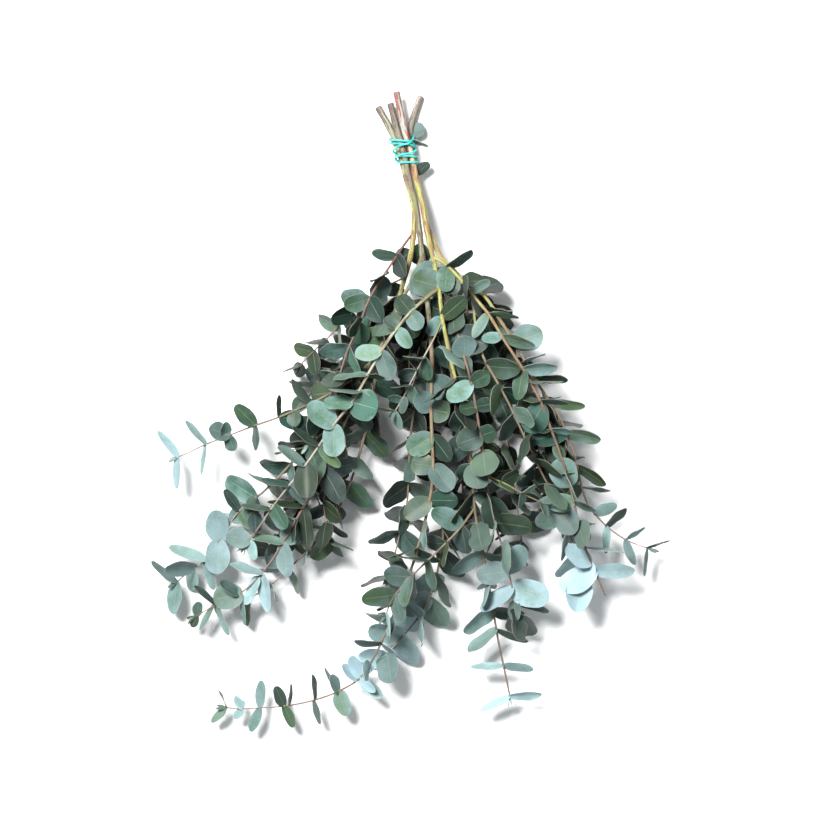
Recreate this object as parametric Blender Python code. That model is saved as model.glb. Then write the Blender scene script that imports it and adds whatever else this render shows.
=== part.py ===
"""A tied bunch of silver-dollar eucalyptus, cut and lying on a table.

Metres, +Z up, +Y from the leafy tips to the cut ends. Four cut branches grow side shoots, every shoot
carries stalkless leaves in crossed pairs, and a wound rubber band ties the four stems together.
Each branch with all its shoots and leaves is one grown body, so it is one object.
"""

import math
import random
from dataclasses import dataclass

import bmesh
import bpy
import numpy as np
from mathutils import Vector
from mathutils.bvhtree import BVHTree

# Leaves
LEAF_THICKNESS = 0.0007
LEAF_CLEARANCE = 0.0004  # to any leaf or stem that it doesn't grow from
LEAF_STAND_OFF = 0.0010  # from the stem's bark to where the blade starts to widen
ROOT_DEPTH = 0.0005  # under the bark
# Share of the length, and half-width as a share of the greatest half-width, at each pair of edge points
LEAF_OUTLINE = ((0.20, 0.80), (0.55, 1.00), (0.87, 0.62))
SMALL_OUTLINE = ((0.26, 0.90), (0.74, 0.86))
SMALL_LEAF = 0.031  # the width up to which a leaf has the plainer outline
SLENDER_LEAF = 0.018  # ruled leaves under this width only keep their room free, and aren't solid
LEAF_SPREAD = math.radians(62)  # between a leaf and the stem ahead of it
LEAF_TURN_TO_LIGHT = (0.05, 0.75)  # share of the turn that would lay the blade level
LEAF_CURL = (-0.10, 0.16)  # how far the tip bends off the blade's plane, as a share of its length
DEEPEST_PRESS = 0.010  # how far under the table a leaf's tip may point before it is pressed flat
PLACE_TRIES = 40  # ways that a leaf may lie before its place is left bare
SET_CURL = (-0.02, 0.12)
SAME_NODE = 0.0045  # leaves rooted this close together share a node of the stem
RULED_ROOM = 0.5  # share of the usual spacing that a set node keeps free of other nodes

# Stems
MAIN_SIDES = 8
LEAFY_SIDES = 4
RING_STEP = 0.024  # between rings where no leaves grow
CURVE_STEPS = 12  # fine steps between two points of a route

# Band
BAND_RADIUS = 0.0010
BAND_SIDES = 5
BAND_STEPS = 16  # points for each turn
BAND_GAP = 0.0005
# Y where each turn starts on the left, passes over to the right, and so on under to the next one's left
BAND_TURNS = (
    (0.2710, 0.2662), (0.2672, 0.2636), (0.2546, 0.2521),
    (0.2470, 0.2473), (0.2512, 0.2610), (0.2576, 0.2743),
)
BAND_OVER = (3.5, 5.5)  # the turns between which it lies on the turns before
BAND_CLIMB = 0.09  # share of a turn in which it climbs on to them from either edge of the bunch

COLOURS = {
    "branch_outer_left": (0.20, 0.31, 0.27),
    "branch_inner_left": (0.23, 0.35, 0.31),
    "branch_centre": (0.27, 0.40, 0.36),
    "branch_right": (0.22, 0.34, 0.28),
    "tie": (0.05, 0.72, 0.68),
}


@dataclass
class Shoot:
    """One stem and its leaves. Pairs of values are at the first pair of leaves and at the tip."""

    name: str
    branch: str
    route: list
    radius: tuple
    first_pair: float
    spacing: tuple
    leaf_length: tuple
    leaf_width: tuple
    roll: float
    bare_end: float = 0.0
    sides: int = LEAFY_SIDES


# Where side shoots fork from their stems
FORK_RED = (0.0040, 0.177, 0.0370)
FORK_THIN = (-0.0050, 0.131, 0.0445)
FORK_FAR_LEFT = (-0.039, 0.047, 0.043)
FORK_LOW_LEFT = (-0.061, 0.013, 0.040)
FORK_LONG_LEFT = (0.0125, 0.153, 0.0450)
FORK_DEEP_LEFT = (-0.031, 0.056, 0.059)
FORK_UNDER = (0.022, 0.051, 0.050)
FORK_BENEATH = (0.023, -0.064, 0.060)
FORK_YELLOW = (0.023, 0.151, 0.047)
FORK_OVER = (0.029, 0.120, 0.056)
FORK_PALE = (0.032, 0.091, 0.062)
FORK_MIDDLE = (0.038, 0.061, 0.065)
FORK_CROSS = (0.062, -0.061, 0.055)
FORK_BACK = (0.064, -0.097, 0.051)
FORK_ROSY = (0.044, 0.138, 0.045)
FORK_BROWN = (0.059, 0.123, 0.050)

SHOOTS = [
    Shoot(
        name="over_left",
        branch="branch_centre",
        route=[
            FORK_OVER, (0.017, 0.111, 0.066), (0.001, 0.096, 0.075), (-0.014, 0.078, 0.081),
            (-0.027, 0.059, 0.084), (-0.040, 0.036, 0.086), (-0.055, 0.010, 0.084),
            (-0.073, -0.013, 0.080), (-0.089, -0.035, 0.075), (-0.103, -0.055, 0.070),
            (-0.120, -0.076, 0.064), (-0.137, -0.098, 0.057), (-0.150, -0.117, 0.050),
            (-0.163, -0.135, 0.044),
        ],
        radius=(0.0022, 0.0009),
        first_pair=0.036,
        spacing=(0.025, 0.024),
        leaf_length=(0.029, 0.026),
        leaf_width=(0.027, 0.015),
        roll=math.radians(24),
    ),
    Shoot(
        name="yellow_right",
        branch="branch_centre",
        route=[
            FORK_YELLOW, (0.034, 0.145, 0.052), (0.049, 0.130, 0.060), (0.062, 0.113, 0.066),
            (0.078, 0.093, 0.072), (0.093, 0.068, 0.076), (0.111, 0.040, 0.077),
            (0.128, 0.009, 0.075), (0.139, -0.019, 0.071), (0.150, -0.049, 0.067),
            (0.158, -0.076, 0.062), (0.165, -0.104, 0.057), (0.173, -0.134, 0.051),
            (0.182, -0.157, 0.046), (0.194, -0.184, 0.040),
        ],
        radius=(0.0022, 0.0011),
        first_pair=0.018,
        spacing=(0.024, 0.027),
        leaf_length=(0.026, 0.034),
        leaf_width=(0.019, 0.026),
        roll=math.radians(-14),
        bare_end=0.026,
    ),
    Shoot(
        name="centre_main",
        branch="branch_centre",
        route=[
            (-0.0134, 0.318, 0.0190), (-0.0060, 0.283, 0.0160), (0.0012, 0.258, 0.0155),
            (0.0062, 0.231, 0.0240), (0.0130, 0.204, 0.0325), (0.0172, 0.177, 0.0420),
            FORK_YELLOW, (0.026, 0.136, 0.051), FORK_OVER, FORK_PALE, FORK_MIDDLE,
            (0.046, 0.026, 0.065), (0.053, -0.004, 0.062), (0.058, -0.034, 0.058),
            FORK_CROSS, FORK_BACK, (0.070, -0.129, 0.047), (0.076, -0.161, 0.043),
            (0.082, -0.194, 0.038), (0.088, -0.229, 0.032), (0.094, -0.257, 0.028),
            (0.100, -0.286, 0.025),
        ],
        radius=(0.0034, 0.0011),
        first_pair=0.184,
        spacing=(0.030, 0.031),
        leaf_length=(0.033, 0.032),
        leaf_width=(0.031, 0.015),
        roll=math.radians(8),
        sides=MAIN_SIDES,
    ),
    Shoot(
        name="rosy",
        branch="branch_right",
        route=[
            FORK_ROSY, (0.041, 0.116, 0.047), (0.044, 0.091, 0.051), (0.049, 0.069, 0.062),
            (0.054, 0.051, 0.070), (0.060, 0.028, 0.073), (0.065, 0.003, 0.072),
            (0.069, -0.021, 0.069), (0.073, -0.047, 0.064), (0.076, -0.066, 0.059),
            (0.079, -0.089, 0.058), (0.085, -0.114, 0.057), (0.092, -0.137, 0.055),
            (0.098, -0.161, 0.052), (0.103, -0.184, 0.048), (0.107, -0.219, 0.041),
        ],
        radius=(0.0020, 0.0009),
        first_pair=0.042,
        spacing=(0.026, 0.025),
        leaf_length=(0.027, 0.036),
        leaf_width=(0.026, 0.027),
        roll=math.radians(78),
        bare_end=0.016,
    ),
    Shoot(
        name="pale_thin",
        branch="branch_centre",
        route=[
            FORK_PALE, (0.025, 0.073, 0.067), (0.014, 0.052, 0.069), (0.003, 0.031, 0.067),
            (-0.006, 0.013, 0.063), (-0.015, -0.002, 0.058),
        ],
        radius=(0.0013, 0.0007),
        first_pair=0.044,
        spacing=(0.020, 0.020),
        leaf_length=(0.022, 0.018),
        leaf_width=(0.014, 0.010),
        roll=math.radians(30),
    ),
    Shoot(
        name="inner_main",
        branch="branch_inner_left",
        route=[
            (-0.0195, 0.307, 0.0105), (-0.0133, 0.283, 0.0125), (-0.0060, 0.258, 0.0152),
            (-0.0010, 0.231, 0.0245), (0.0060, 0.204, 0.0335), (0.0097, 0.177, 0.0425),
            FORK_LONG_LEFT, (0.016, 0.126, 0.046), (0.019, 0.091, 0.047), FORK_UNDER,
            (0.021, 0.011, 0.055), (0.022, -0.029, 0.059), FORK_BENEATH,
            (0.018, -0.097, 0.057), (0.010, -0.129, 0.052), (0.001, -0.159, 0.047),
            (-0.009, -0.187, 0.042), (-0.021, -0.214, 0.038), (-0.033, -0.241, 0.034),
            (-0.049, -0.266, 0.031), (-0.071, -0.280, 0.028), (-0.095, -0.289, 0.026),
            (-0.123, -0.295, 0.024), (-0.149, -0.297, 0.023), (-0.168, -0.298, 0.022),
            (-0.184, -0.297, 0.021),
        ],
        radius=(0.0034, 0.0007),
        first_pair=0.285,
        spacing=(0.031, 0.022),
        leaf_length=(0.031, 0.020),
        leaf_width=(0.028, 0.010),
        roll=math.radians(18),
        sides=MAIN_SIDES,
    ),
    Shoot(
        name="far_left",
        branch="branch_outer_left",
        route=[
            FORK_FAR_LEFT, (-0.059, 0.029, 0.049), (-0.081, 0.015, 0.054),
            (-0.106, 0.003, 0.056), (-0.129, -0.007, 0.054), (-0.155, -0.016, 0.050),
            (-0.181, -0.026, 0.046), (-0.202, -0.034, 0.042), (-0.219, -0.042, 0.038),
            (-0.231, -0.047, 0.035),
        ],
        radius=(0.0018, 0.0007),
        first_pair=0.026,
        spacing=(0.026, 0.028),
        leaf_length=(0.030, 0.031),
        leaf_width=(0.025, 0.010),
        roll=math.radians(12),
    ),
    Shoot(
        name="red",
        branch="branch_outer_left",
        route=[
            FORK_RED, (-0.006, 0.163, 0.043), (-0.015, 0.149, 0.049), (-0.027, 0.131, 0.055),
            (-0.040, 0.109, 0.060), (-0.051, 0.081, 0.063), (-0.061, 0.059, 0.065),
            (-0.069, 0.035, 0.065), (-0.080, 0.010, 0.064), (-0.091, -0.015, 0.059),
            (-0.101, -0.035, 0.053),
        ],
        radius=(0.0016, 0.0009),
        first_pair=0.032,
        spacing=(0.027, 0.028),
        leaf_length=(0.022, 0.031),
        leaf_width=(0.018, 0.022),
        roll=math.radians(-20),
    ),
    Shoot(
        name="long_left",
        branch="branch_inner_left",
        route=[
            FORK_LONG_LEFT, (0.009, 0.143, 0.048), (0.002, 0.127, 0.053),
            (-0.009, 0.107, 0.056), (-0.019, 0.083, 0.058), FORK_DEEP_LEFT,
            (-0.049, 0.019, 0.060), (-0.066, -0.017, 0.058), (-0.080, -0.050, 0.055),
            (-0.093, -0.077, 0.051), (-0.108, -0.101, 0.047), (-0.126, -0.132, 0.043),
            (-0.145, -0.160, 0.038), (-0.168, -0.182, 0.033), (-0.191, -0.193, 0.028),
            (-0.214, -0.206, 0.024),
        ],
        radius=(0.0026, 0.0007),
        first_pair=0.062,
        spacing=(0.027, 0.023),
        leaf_length=(0.032, 0.022),
        leaf_width=(0.029, 0.012),
        roll=math.radians(40),
    ),
    Shoot(
        name="outer_main",
        branch="branch_outer_left",
        route=[
            (-0.032, 0.304, 0.0036), (-0.0205, 0.283, 0.0060), (-0.0100, 0.258, 0.0085),
            (-0.0033, 0.231, 0.0178), (0.0036, 0.204, 0.0268), FORK_RED,
            (0.0005, 0.151, 0.0425), FORK_THIN, (-0.015, 0.096, 0.046),
            (-0.023, 0.073, 0.045), FORK_FAR_LEFT, FORK_LOW_LEFT, (-0.089, -0.019, 0.037),
            (-0.116, -0.051, 0.034), (-0.143, -0.079, 0.032), (-0.169, -0.100, 0.031),
            (-0.186, -0.124, 0.030), (-0.203, -0.149, 0.029), (-0.221, -0.162, 0.027),
            (-0.2325, -0.172, 0.025),
        ],
        radius=(0.0034, 0.0008),
        first_pair=0.232,
        spacing=(0.026, 0.023),
        leaf_length=(0.032, 0.031),
        leaf_width=(0.029, 0.019),
        roll=math.radians(60),
        sides=MAIN_SIDES,
    ),
    Shoot(
        name="back_left",
        branch="branch_centre",
        route=[
            FORK_BACK, (0.051, -0.115, 0.056), (0.035, -0.132, 0.060), (0.017, -0.149, 0.061),
            (-0.001, -0.167, 0.059), (-0.017, -0.186, 0.056), (-0.024, -0.204, 0.051),
        ],
        radius=(0.0016, 0.0008),
        first_pair=0.022,
        spacing=(0.024, 0.024),
        leaf_length=(0.028, 0.031),
        leaf_width=(0.018, 0.022),
        roll=math.radians(35),
    ),
    Shoot(
        name="cross_right",
        branch="branch_centre",
        route=[
            FORK_CROSS, (0.070, -0.063, 0.062), (0.079, -0.066, 0.069), (0.095, -0.073, 0.072),
            (0.113, -0.083, 0.073), (0.130, -0.091, 0.072),
        ],
        radius=(0.0013, 0.0007),
        first_pair=0.036,
        spacing=(0.022, 0.022),
        leaf_length=(0.020, 0.016),
        leaf_width=(0.014, 0.010),
        roll=math.radians(50),
    ),
    Shoot(
        name="brown_right",
        branch="branch_right",
        route=[
            FORK_BROWN, (0.063, 0.101, 0.055), (0.066, 0.076, 0.061), (0.073, 0.051, 0.067),
            (0.084, 0.031, 0.070), (0.096, 0.009, 0.071), (0.107, -0.014, 0.070),
            (0.119, -0.039, 0.067), (0.131, -0.064, 0.063), (0.142, -0.084, 0.059),
            (0.151, -0.107, 0.053), (0.161, -0.129, 0.047), (0.167, -0.149, 0.042),
            (0.169, -0.168, 0.038),
        ],
        radius=(0.0019, 0.0009),
        first_pair=0.030,
        spacing=(0.028, 0.026),
        leaf_length=(0.028, 0.033),
        leaf_width=(0.021, 0.027),
        roll=math.radians(-35),
    ),
    Shoot(
        name="right_main",
        branch="branch_right",
        route=[
            (0.0108, 0.315, 0.0036), (0.0010, 0.283, 0.0060), (0.0006, 0.258, 0.0080),
            (0.0056, 0.231, 0.0165), (0.0128, 0.204, 0.0250), (0.0195, 0.177, 0.0335),
            (0.031, 0.152, 0.0400), FORK_ROSY, FORK_BROWN, (0.075, 0.111, 0.054),
            (0.089, 0.089, 0.058), (0.103, 0.066, 0.060), (0.119, 0.039, 0.061),
            (0.134, 0.014, 0.060), (0.146, -0.004, 0.058), (0.156, -0.026, 0.055),
            (0.164, -0.049, 0.051), (0.170, -0.074, 0.047), (0.177, -0.094, 0.042),
            (0.194, -0.114, 0.037), (0.215, -0.129, 0.031), (0.239, -0.1385, 0.026),
        ],
        radius=(0.0034, 0.0007),
        first_pair=0.222,
        spacing=(0.031, 0.024),
        leaf_length=(0.031, 0.026),
        leaf_width=(0.024, 0.009),
        roll=math.radians(100),
        sides=MAIN_SIDES,
    ),
    Shoot(
        name="thin_left",
        branch="branch_outer_left",
        route=[
            FORK_THIN, (-0.018, 0.125, 0.044), (-0.031, 0.116, 0.042), (-0.043, 0.107, 0.040),
            (-0.059, 0.095, 0.038), (-0.071, 0.083, 0.036), (-0.081, 0.072, 0.034),
            (-0.095, 0.059, 0.032), (-0.109, 0.045, 0.030),
        ],
        radius=(0.0013, 0.0007),
        first_pair=0.024,
        spacing=(0.023, 0.020),
        leaf_length=(0.027, 0.020),
        leaf_width=(0.023, 0.013),
        roll=math.radians(70),
    ),
    Shoot(
        name="deep_left",
        branch="branch_inner_left",
        route=[
            FORK_DEEP_LEFT, (-0.035, 0.026, 0.050), (-0.041, -0.009, 0.040),
            (-0.050, -0.044, 0.033), (-0.061, -0.077, 0.029), (-0.077, -0.109, 0.026),
            (-0.096, -0.134, 0.024), (-0.113, -0.151, 0.023), (-0.138, -0.174, 0.022),
            (-0.161, -0.189, 0.022),
        ],
        radius=(0.0021, 0.0008),
        first_pair=0.030,
        spacing=(0.027, 0.026),
        leaf_length=(0.031, 0.026),
        leaf_width=(0.026, 0.014),
        roll=math.radians(15),
    ),
    Shoot(
        name="under_centre",
        branch="branch_inner_left",
        route=[
            FORK_UNDER, (0.013, 0.026, 0.042), (0.004, -0.004, 0.036), (0.000, -0.039, 0.032),
            (-0.001, -0.069, 0.030), (-0.003, -0.094, 0.028), (-0.009, -0.119, 0.027),
            (-0.015, -0.144, 0.026), (-0.022, -0.166, 0.025),
        ],
        radius=(0.0019, 0.0008),
        first_pair=0.034,
        spacing=(0.027, 0.025),
        leaf_length=(0.031, 0.029),
        leaf_width=(0.026, 0.020),
        roll=math.radians(20),
    ),
    Shoot(
        name="beneath_centre",
        branch="branch_inner_left",
        route=[
            FORK_BENEATH, (0.029, -0.094, 0.048), (0.033, -0.124, 0.036),
            (0.029, -0.154, 0.029), (0.022, -0.181, 0.026), (0.009, -0.206, 0.024),
            (-0.007, -0.226, 0.023), (-0.023, -0.244, 0.022),
        ],
        radius=(0.0018, 0.0009),
        first_pair=0.034,
        spacing=(0.027, 0.026),
        leaf_length=(0.035, 0.034),
        leaf_width=(0.031, 0.024),
        roll=math.radians(30),
    ),
    Shoot(
        name="low_right",
        branch="branch_right",
        route=[
            FORK_BROWN, (0.069, 0.092, 0.044), (0.078, 0.052, 0.037), (0.088, 0.012, 0.032),
            (0.096, -0.028, 0.029), (0.102, -0.068, 0.027), (0.108, -0.103, 0.025),
            (0.112, -0.133, 0.024),
        ],
        radius=(0.0020, 0.0009),
        first_pair=0.040,
        spacing=(0.028, 0.026),
        leaf_length=(0.032, 0.030),
        leaf_width=(0.027, 0.021),
        roll=math.radians(10),
    ),
    Shoot(
        name="low_middle",
        branch="branch_centre",
        route=[
            FORK_MIDDLE, (0.042, 0.030, 0.050), (0.046, -0.004, 0.038), (0.051, -0.044, 0.025),
            (0.053, -0.084, 0.011), (0.050, -0.112, 0.0032),
        ],
        radius=(0.0018, 0.0009),
        first_pair=0.034,
        spacing=(0.028, 0.026),
        leaf_length=(0.032, 0.030),
        leaf_width=(0.027, 0.022),
        roll=math.radians(55),
    ),
    Shoot(
        name="low_left",
        branch="branch_outer_left",
        route=[
            FORK_LOW_LEFT, (-0.076, -0.019, 0.031), (-0.089, -0.054, 0.026),
            (-0.104, -0.084, 0.024), (-0.124, -0.108, 0.023),
        ],
        radius=(0.0017, 0.0009),
        first_pair=0.030,
        spacing=(0.027, 0.025),
        leaf_length=(0.031, 0.027),
        leaf_width=(0.025, 0.017),
        roll=math.radians(35),
    ),
]

# Leaves whose places are known, by shoot: X and Y of the root in mm, direction seen from above,
# rise, length and width in mm, and turn about the leaf's own length. Angles are in degrees.
SET_LEAVES = {
    "right_main": (
        (2.5, 279, -4, 32, 17, 19.5, 5), (1.5, 270, -15, 5, 20, 9, 72), (4, 241.5, 28, -8, 20, 13, 10),
        (102, 66, 22, 5, 30, 27, 5), (126.3, 32, 3, 8, 32, 15, 58), (143, 10, -5, 5, 35, 14, 45),
        (158, -21.4, -9, 5, 35, 16, 35), (156, -20, 200, 12, 37, 26, 25),
        (164, -55.6, -30, 0, 34, 14, 40), (173, -112.6, 20, 0, 24, 14, 30),
        (193.5, -119.4, 49, 10, 27, 14, 50), (193.5, -119.4, -88, -8, 27, 12, 55),
        (215, -128, 34, 8, 23, 11, 62), (215, -128, -71, -6, 27, 13, 50),
        (235.5, -138, 23, 3, 25, 9, 74), (236.5, -138, -91, -5, 28, 9, 72),
    ),
    "yellow_right": (
        (60, 116.2, 32, 15, 23, 11, 30), (60, 116.2, 230, -10, 17, 10, 30),
        (79, 95.8, -6, 5, 31, 12, 68), (79, 95.8, 241, 0, 28, 13, 35), (87.7, 72, -16, 5, 34, 15, 45),
        (87.7, 72, 190, 0, 20, 15, 40), (110.6, 41, 6, 6, 34, 16, 40), (110.6, 41, 260, 5, 31, 17, 30),
        (127.8, 9.3, 180, 5, 18, 12, 66), (127.8, 9.3, -4, 5, 28, 12, 66),
        (129, 5, 245, -10, 31, 27, 5), (139, -19, -2, 5, 22, 12, 62), (139, -19, 186, 0, 16, 12, 60),
        (150.4, -49.4, -80, -10, 31, 29, 5), (150.4, -49.4, 100, 5, 20, 16, 60),
        (161, -91, -20, -5, 24, 12, 60), (161, -91, 200, 5, 30, 22, 20),
        (178, -151, 150, 22, 34, 22, 20), (178, -151, -107, -25, 32, 22, 10),
        (181.6, -158.7, 0, 4, 40, 17, 25), (181.6, -158.7, -152, 4, 39, 26, 15),
    ),
    "over_left": (
        (1, 96, -60, 15, 21, 18, 10), (1, 96, 130, 0, 20, 20, 10), (-11, 77, -51, 12, 24, 15, 20),
        (-11, 77, 140, 0, 16, 14, 30), (-30.3, 58.1, 189, 5, 26, 18, 20),
        (-30.3, 58.1, -70, 5, 30, 20, 10), (-41, 35, 186, 4, 34, 14, 66), (-41, 35, 6, 4, 20, 13, 66),
        (-58, 9, -15, 10, 27, 32, 5), (-58, 9, 183, 5, 28, 20, 42), (-74.3, -15, 141, 14, 34, 24, 15),
        (-74.3, -15, -85, 2, 32, 24, 5), (-87.3, -35, 150, 5, 32, 13, 60),
        (-87.3, -35, -45, 8, 30, 15, 40), (-100, -56, 145, 5, 33, 15, 50),
        (-98, -55, -88, 5, 34, 24, 8), (-118.5, -74.5, 172, 5, 28, 13, 60),
        (-118.5, -74.5, -50, 0, 25, 12, 60), (-138, -97, 172, 0, 30, 13, 66),
        (-136, -94, -60, 5, 26, 18, 30), (-154, -119, 95, 0, 20, 17, 30),
        (-159, -129, 168, 5, 24, 20, 10), (-159, -129, -75, 0, 20, 12, 30),
    ),
    "long_left": (
        (-104.7, -97.4, 173, 5, 36, 14, 66), (-104.7, -97.4, -82, 2, 42, 17, 25),
        (-85, -59, 20, 0, 32, 26, 15), (-85, -59, -60, 0, 36, 24, 20),
        (-126.1, -132.1, 173, 4, 33, 14, 62), (-126.1, -132.1, -80, 0, 34, 19, 25),
        (-126, -130, 40, 0, 28, 24, 15), (-149.6, -160.9, 165, 4, 33, 15, 58),
        (-149.6, -160.9, -76, 0, 39, 16, 40), (-152, -163, -112, -5, 30, 16, 45),
        (-166.6, -183, -165, 2, 28, 27, 10), (-169, -184, 150, 25, 26, 13, 50),
        (-173, -187, 100, 0, 16, 11, 50), (-168, -183, -80, -5, 34, 10, 60),
        (-192.7, -192.7, 139, 4, 29, 12, 64), (-192.7, -192.7, -64, -4, 33, 12, 55),
        (-196, -195, -115, -5, 28, 12, 62), (-212, -205, 85, 15, 15, 11, 20),
        (-212, -205, -112, -10, 13, 9, 20), (-208, -203, -42, -5, 22, 8, 50),
    ),
    "outer_main": (
        (-232.2, -172, 145, 3, 33, 13, 58), (-232.2, -172, -97, -8, 33, 20, 40),
        (-202.6, -149.9, 163, 4, 39, 14, 35), (-202.6, -149.9, -73, -4, 31, 13, 40),
        (-191.9, -128.7, 91, 10, 35, 24, 10), (-191.9, -128.7, -90, 4, 35, 26, 8),
        (-176, -109, 45, 0, 24, 22, 15), (-176, -109, 180, 0, 22, 18, 30),
        (-168, -100, 130, 4, 26, 13, 40), (-168, -100, -50, 0, 22, 14, 30),
    ),
    "far_left": (
        (-230, -46.5, 128, 5, 33, 12, 48), (-230, -46.5, -91, -4, 32, 12, 48),
        (-201.2, -34.3, 135, 5, 31, 12, 58), (-201.2, -34.3, -96, -4, 31, 12, 66),
        (-176.8, -28, 160, 18, 22, 19, 20), (-176.8, -28, -72, -10, 16, 14, 20),
        (-181, -29, 95, 25, 18, 14, 20), (-152, -14.7, 135, 5, 28, 18, 32),
        (-152, -14.7, -88, -4, 25, 14, 60), (-128.5, -9.5, 90, 5, 22, 12, 68),
        (-126, -9, -18, -18, 24, 20, 10), (-113, -4, 60, 10, 18, 16, 10),
        (-113, -4, -100, -10, 18, 16, 20),
    ),
    "inner_main": (
        (19.4, 0.3, 136, 22, 23, 22, 10), (19.4, 0.3, -12, 5, 19, 24, 10),
        (20.9, -26.8, -48, 8, 31, 20, 15), (20.9, -26.8, 214, -12, 29, 24, 10),
        (20.5, -56.3, -50, 4, 31, 24, 10), (20.5, -56.3, 172, 0, 22, 22, 10),
        (19, -89, 215, 0, 30, 22, 10), (19, -89, 0, 5, 28, 22, 20),
        (-49.6, -264.8, 114, 18, 26, 14, 10), (-49.6, -264.8, -43, -4, 29, 13, 15),
        (-54, -267, 128, 35, 25, 12, 30), (-51, -266, -25, 8, 24, 12, 40),
        (-70, -279.7, 115, 30, 21, 15, 50), (-70, -279.7, -72, -6, 26, 17, 12),
        (-70, -279.7, 125, 0, 27, 12, 74), (-96, -288.8, 96, 4, 26, 13, 70),
        (-96, -288.8, -76, -4, 25, 13, 60), (-124.8, -295.8, 115, 6, 22, 13, 32),
        (-124.8, -295.8, -64, -4, 23, 12, 28), (-121, -295, 86, 4, 22, 11, 74),
        (-148.3, -298, 90, 4, 28, 11, 22), (-148.3, -298, -112, -4, 26, 11, 18),
        (-166.6, -297.4, 123, 6, 15, 9, 30), (-166.6, -297.4, -130, -4, 13, 9, 20),
        (-171, -297.5, 40, 10, 10, 7, 20),
    ),
    "low_middle": (
        (50.5, -111, -98, -35, 33, 27, 0), (50.5, -111, 60, 10, 26, 20, 30),
    ),
    "centre_main": (
        (27.8, 121.4, 165, 12, 28, 30, 5), (27.8, 121.4, 14, 6, 25, 23, 10),
        (32.9, 90.6, 45, 8, 34, 20, 30), (32.9, 90.6, 225, 5, 24, 18, 20),
        (87.7, -217.4, 221, 4, 36, 16, 48), (87.7, -217.4, -17, 4, 34, 14, 58),
        (96.2, -254.3, 185, 4, 33, 12, 58), (96.2, -254.3, -5, 4, 30, 13, 42),
        (100, -286.3, 3, 4, 32, 12, 38), (100, -286.3, 206, 2, 33, 12, 52),
    ),
    "rosy": (
        (54, 53, 92, 25, 23, 24, 8), (54, 53, -88, -10, 22, 20, 20), (61.5, 26.8, 216, 18, 30, 20, 15),
        (61.5, 26.8, 30, 0, 20, 18, 20), (66, 3.3, 12, 25, 20, 15, 15), (66, 3.3, 190, 20, 18, 15, 15),
        (71, -26, 200, 15, 26, 24, 10), (71, -26, 20, 15, 16, 20, 20),
        (99.6, -175.8, -18, 4, 38, 29, 10), (99.6, -175.8, 218, 5, 39, 19, 38),
        (100, -190, -92, -10, 23, 15, 5), (100, -190, -9, 0, 39, 12, 62), (96, -159, 60, 5, 30, 26, 15),
        (96, -159, 190, 0, 32, 24, 20),
    ),
}


def clear_scene():
    for thing in list(bpy.data.objects):
        bpy.data.objects.remove(thing)


# Routes


def smooth_route(points):
    """Close points on the Catmull-Rom curve through these, and each one's distance along it."""
    p = np.array(points, float)
    p = np.vstack([2 * p[0] - p[1], p, 2 * p[-1] - p[-2]])
    fine = []
    for i in range(1, len(p) - 2):
        for t in np.linspace(0, 1, CURVE_STEPS, endpoint=False):
            a = 2 * p[i]
            b = (p[i + 1] - p[i - 1]) * t
            c = (2 * p[i - 1] - 5 * p[i] + 4 * p[i + 1] - p[i + 2]) * t**2
            d = (3 * p[i] - p[i - 1] - 3 * p[i + 1] + p[i + 2]) * t**3
            fine.append(0.5 * (a + b + c + d))
    fine.append(p[-2])
    fine = np.array(fine)
    steps = np.linalg.norm(np.diff(fine, axis=0), axis=1)
    return fine, np.concatenate([[0], np.cumsum(steps)])


def place_on(curve, distance):
    """The point at this distance along the curve, the way ahead, and a level and an upright normal."""
    fine, along = curve
    spot = Vector([np.interp(distance, along, fine[:, k]) for k in range(3)])
    step = 0.004
    behind, ahead = max(distance - step, 0), min(distance + step, along[-1])
    tangent = Vector([np.interp(ahead, along, fine[:, k]) for k in range(3)])
    tangent -= Vector([np.interp(behind, along, fine[:, k]) for k in range(3)])
    tangent.normalize()
    level = tangent.cross(Vector((0, 0, 1))).normalized()
    return spot, tangent, level, level.cross(tangent)


def place_on_chord(curve, pairs, distance):
    """The same for the straight run of stem between two rings, which is where leaves are rooted."""
    rings = ring_places(pairs, curve[1][-1])
    n = max(i for i in range(len(rings) - 1) if rings[i] <= distance)
    start, end = place_on(curve, rings[n])[0], place_on(curve, rings[n + 1])[0]
    spot = start.lerp(end, float((distance - rings[n]) / (rings[n + 1] - rings[n])))
    tangent = (end - start).normalized()
    level = tangent.cross(Vector((0, 0, 1))).normalized()
    return spot, tangent, level, level.cross(tangent)


def radius_at(shoot, length, distance):
    start, end = shoot.radius
    return float(start + (end - start) * distance / length)


def set_places(shoot, curve):
    """The shoot's set leaves, each with its root's place along the shoot, from its X and Y."""
    fine, along = curve
    found = []
    for leaf in SET_LEAVES.get(shoot.name, ()):
        n = int(np.argmin(np.linalg.norm(fine[:, :2] - np.array(leaf[:2]) / 1000, axis=1)))
        found.append((leaf, float(min(along[n], along[-1] - 0.001))))
    return found


def pair_places(shoot, curve):
    """Distances along the shoot of its pairs of leaves. The last is at the tip, or where it is bare."""
    first, last = shoot.first_pair, curve[1][-1] - shoot.bare_end - 0.001
    places = [first]
    while places[-1] < last:
        share = (places[-1] - first) / (last - first)
        places.append(places[-1] + shoot.spacing[0] + (shoot.spacing[1] - shoot.spacing[0]) * share)
    ruled = [first + (place - first) * (last - first) / (places[-1] - first) for place in places]
    nodes = []
    for _, place in sorted(set_places(shoot, curve), key=lambda found: found[1]):
        if not nodes or place - nodes[-1] > SAME_NODE:
            nodes.append(place)
    room = RULED_ROOM * shoot.spacing[0]
    ruled = [place for place in ruled if all(abs(place - node) > room for node in nodes)]
    return sorted(ruled + nodes)


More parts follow.
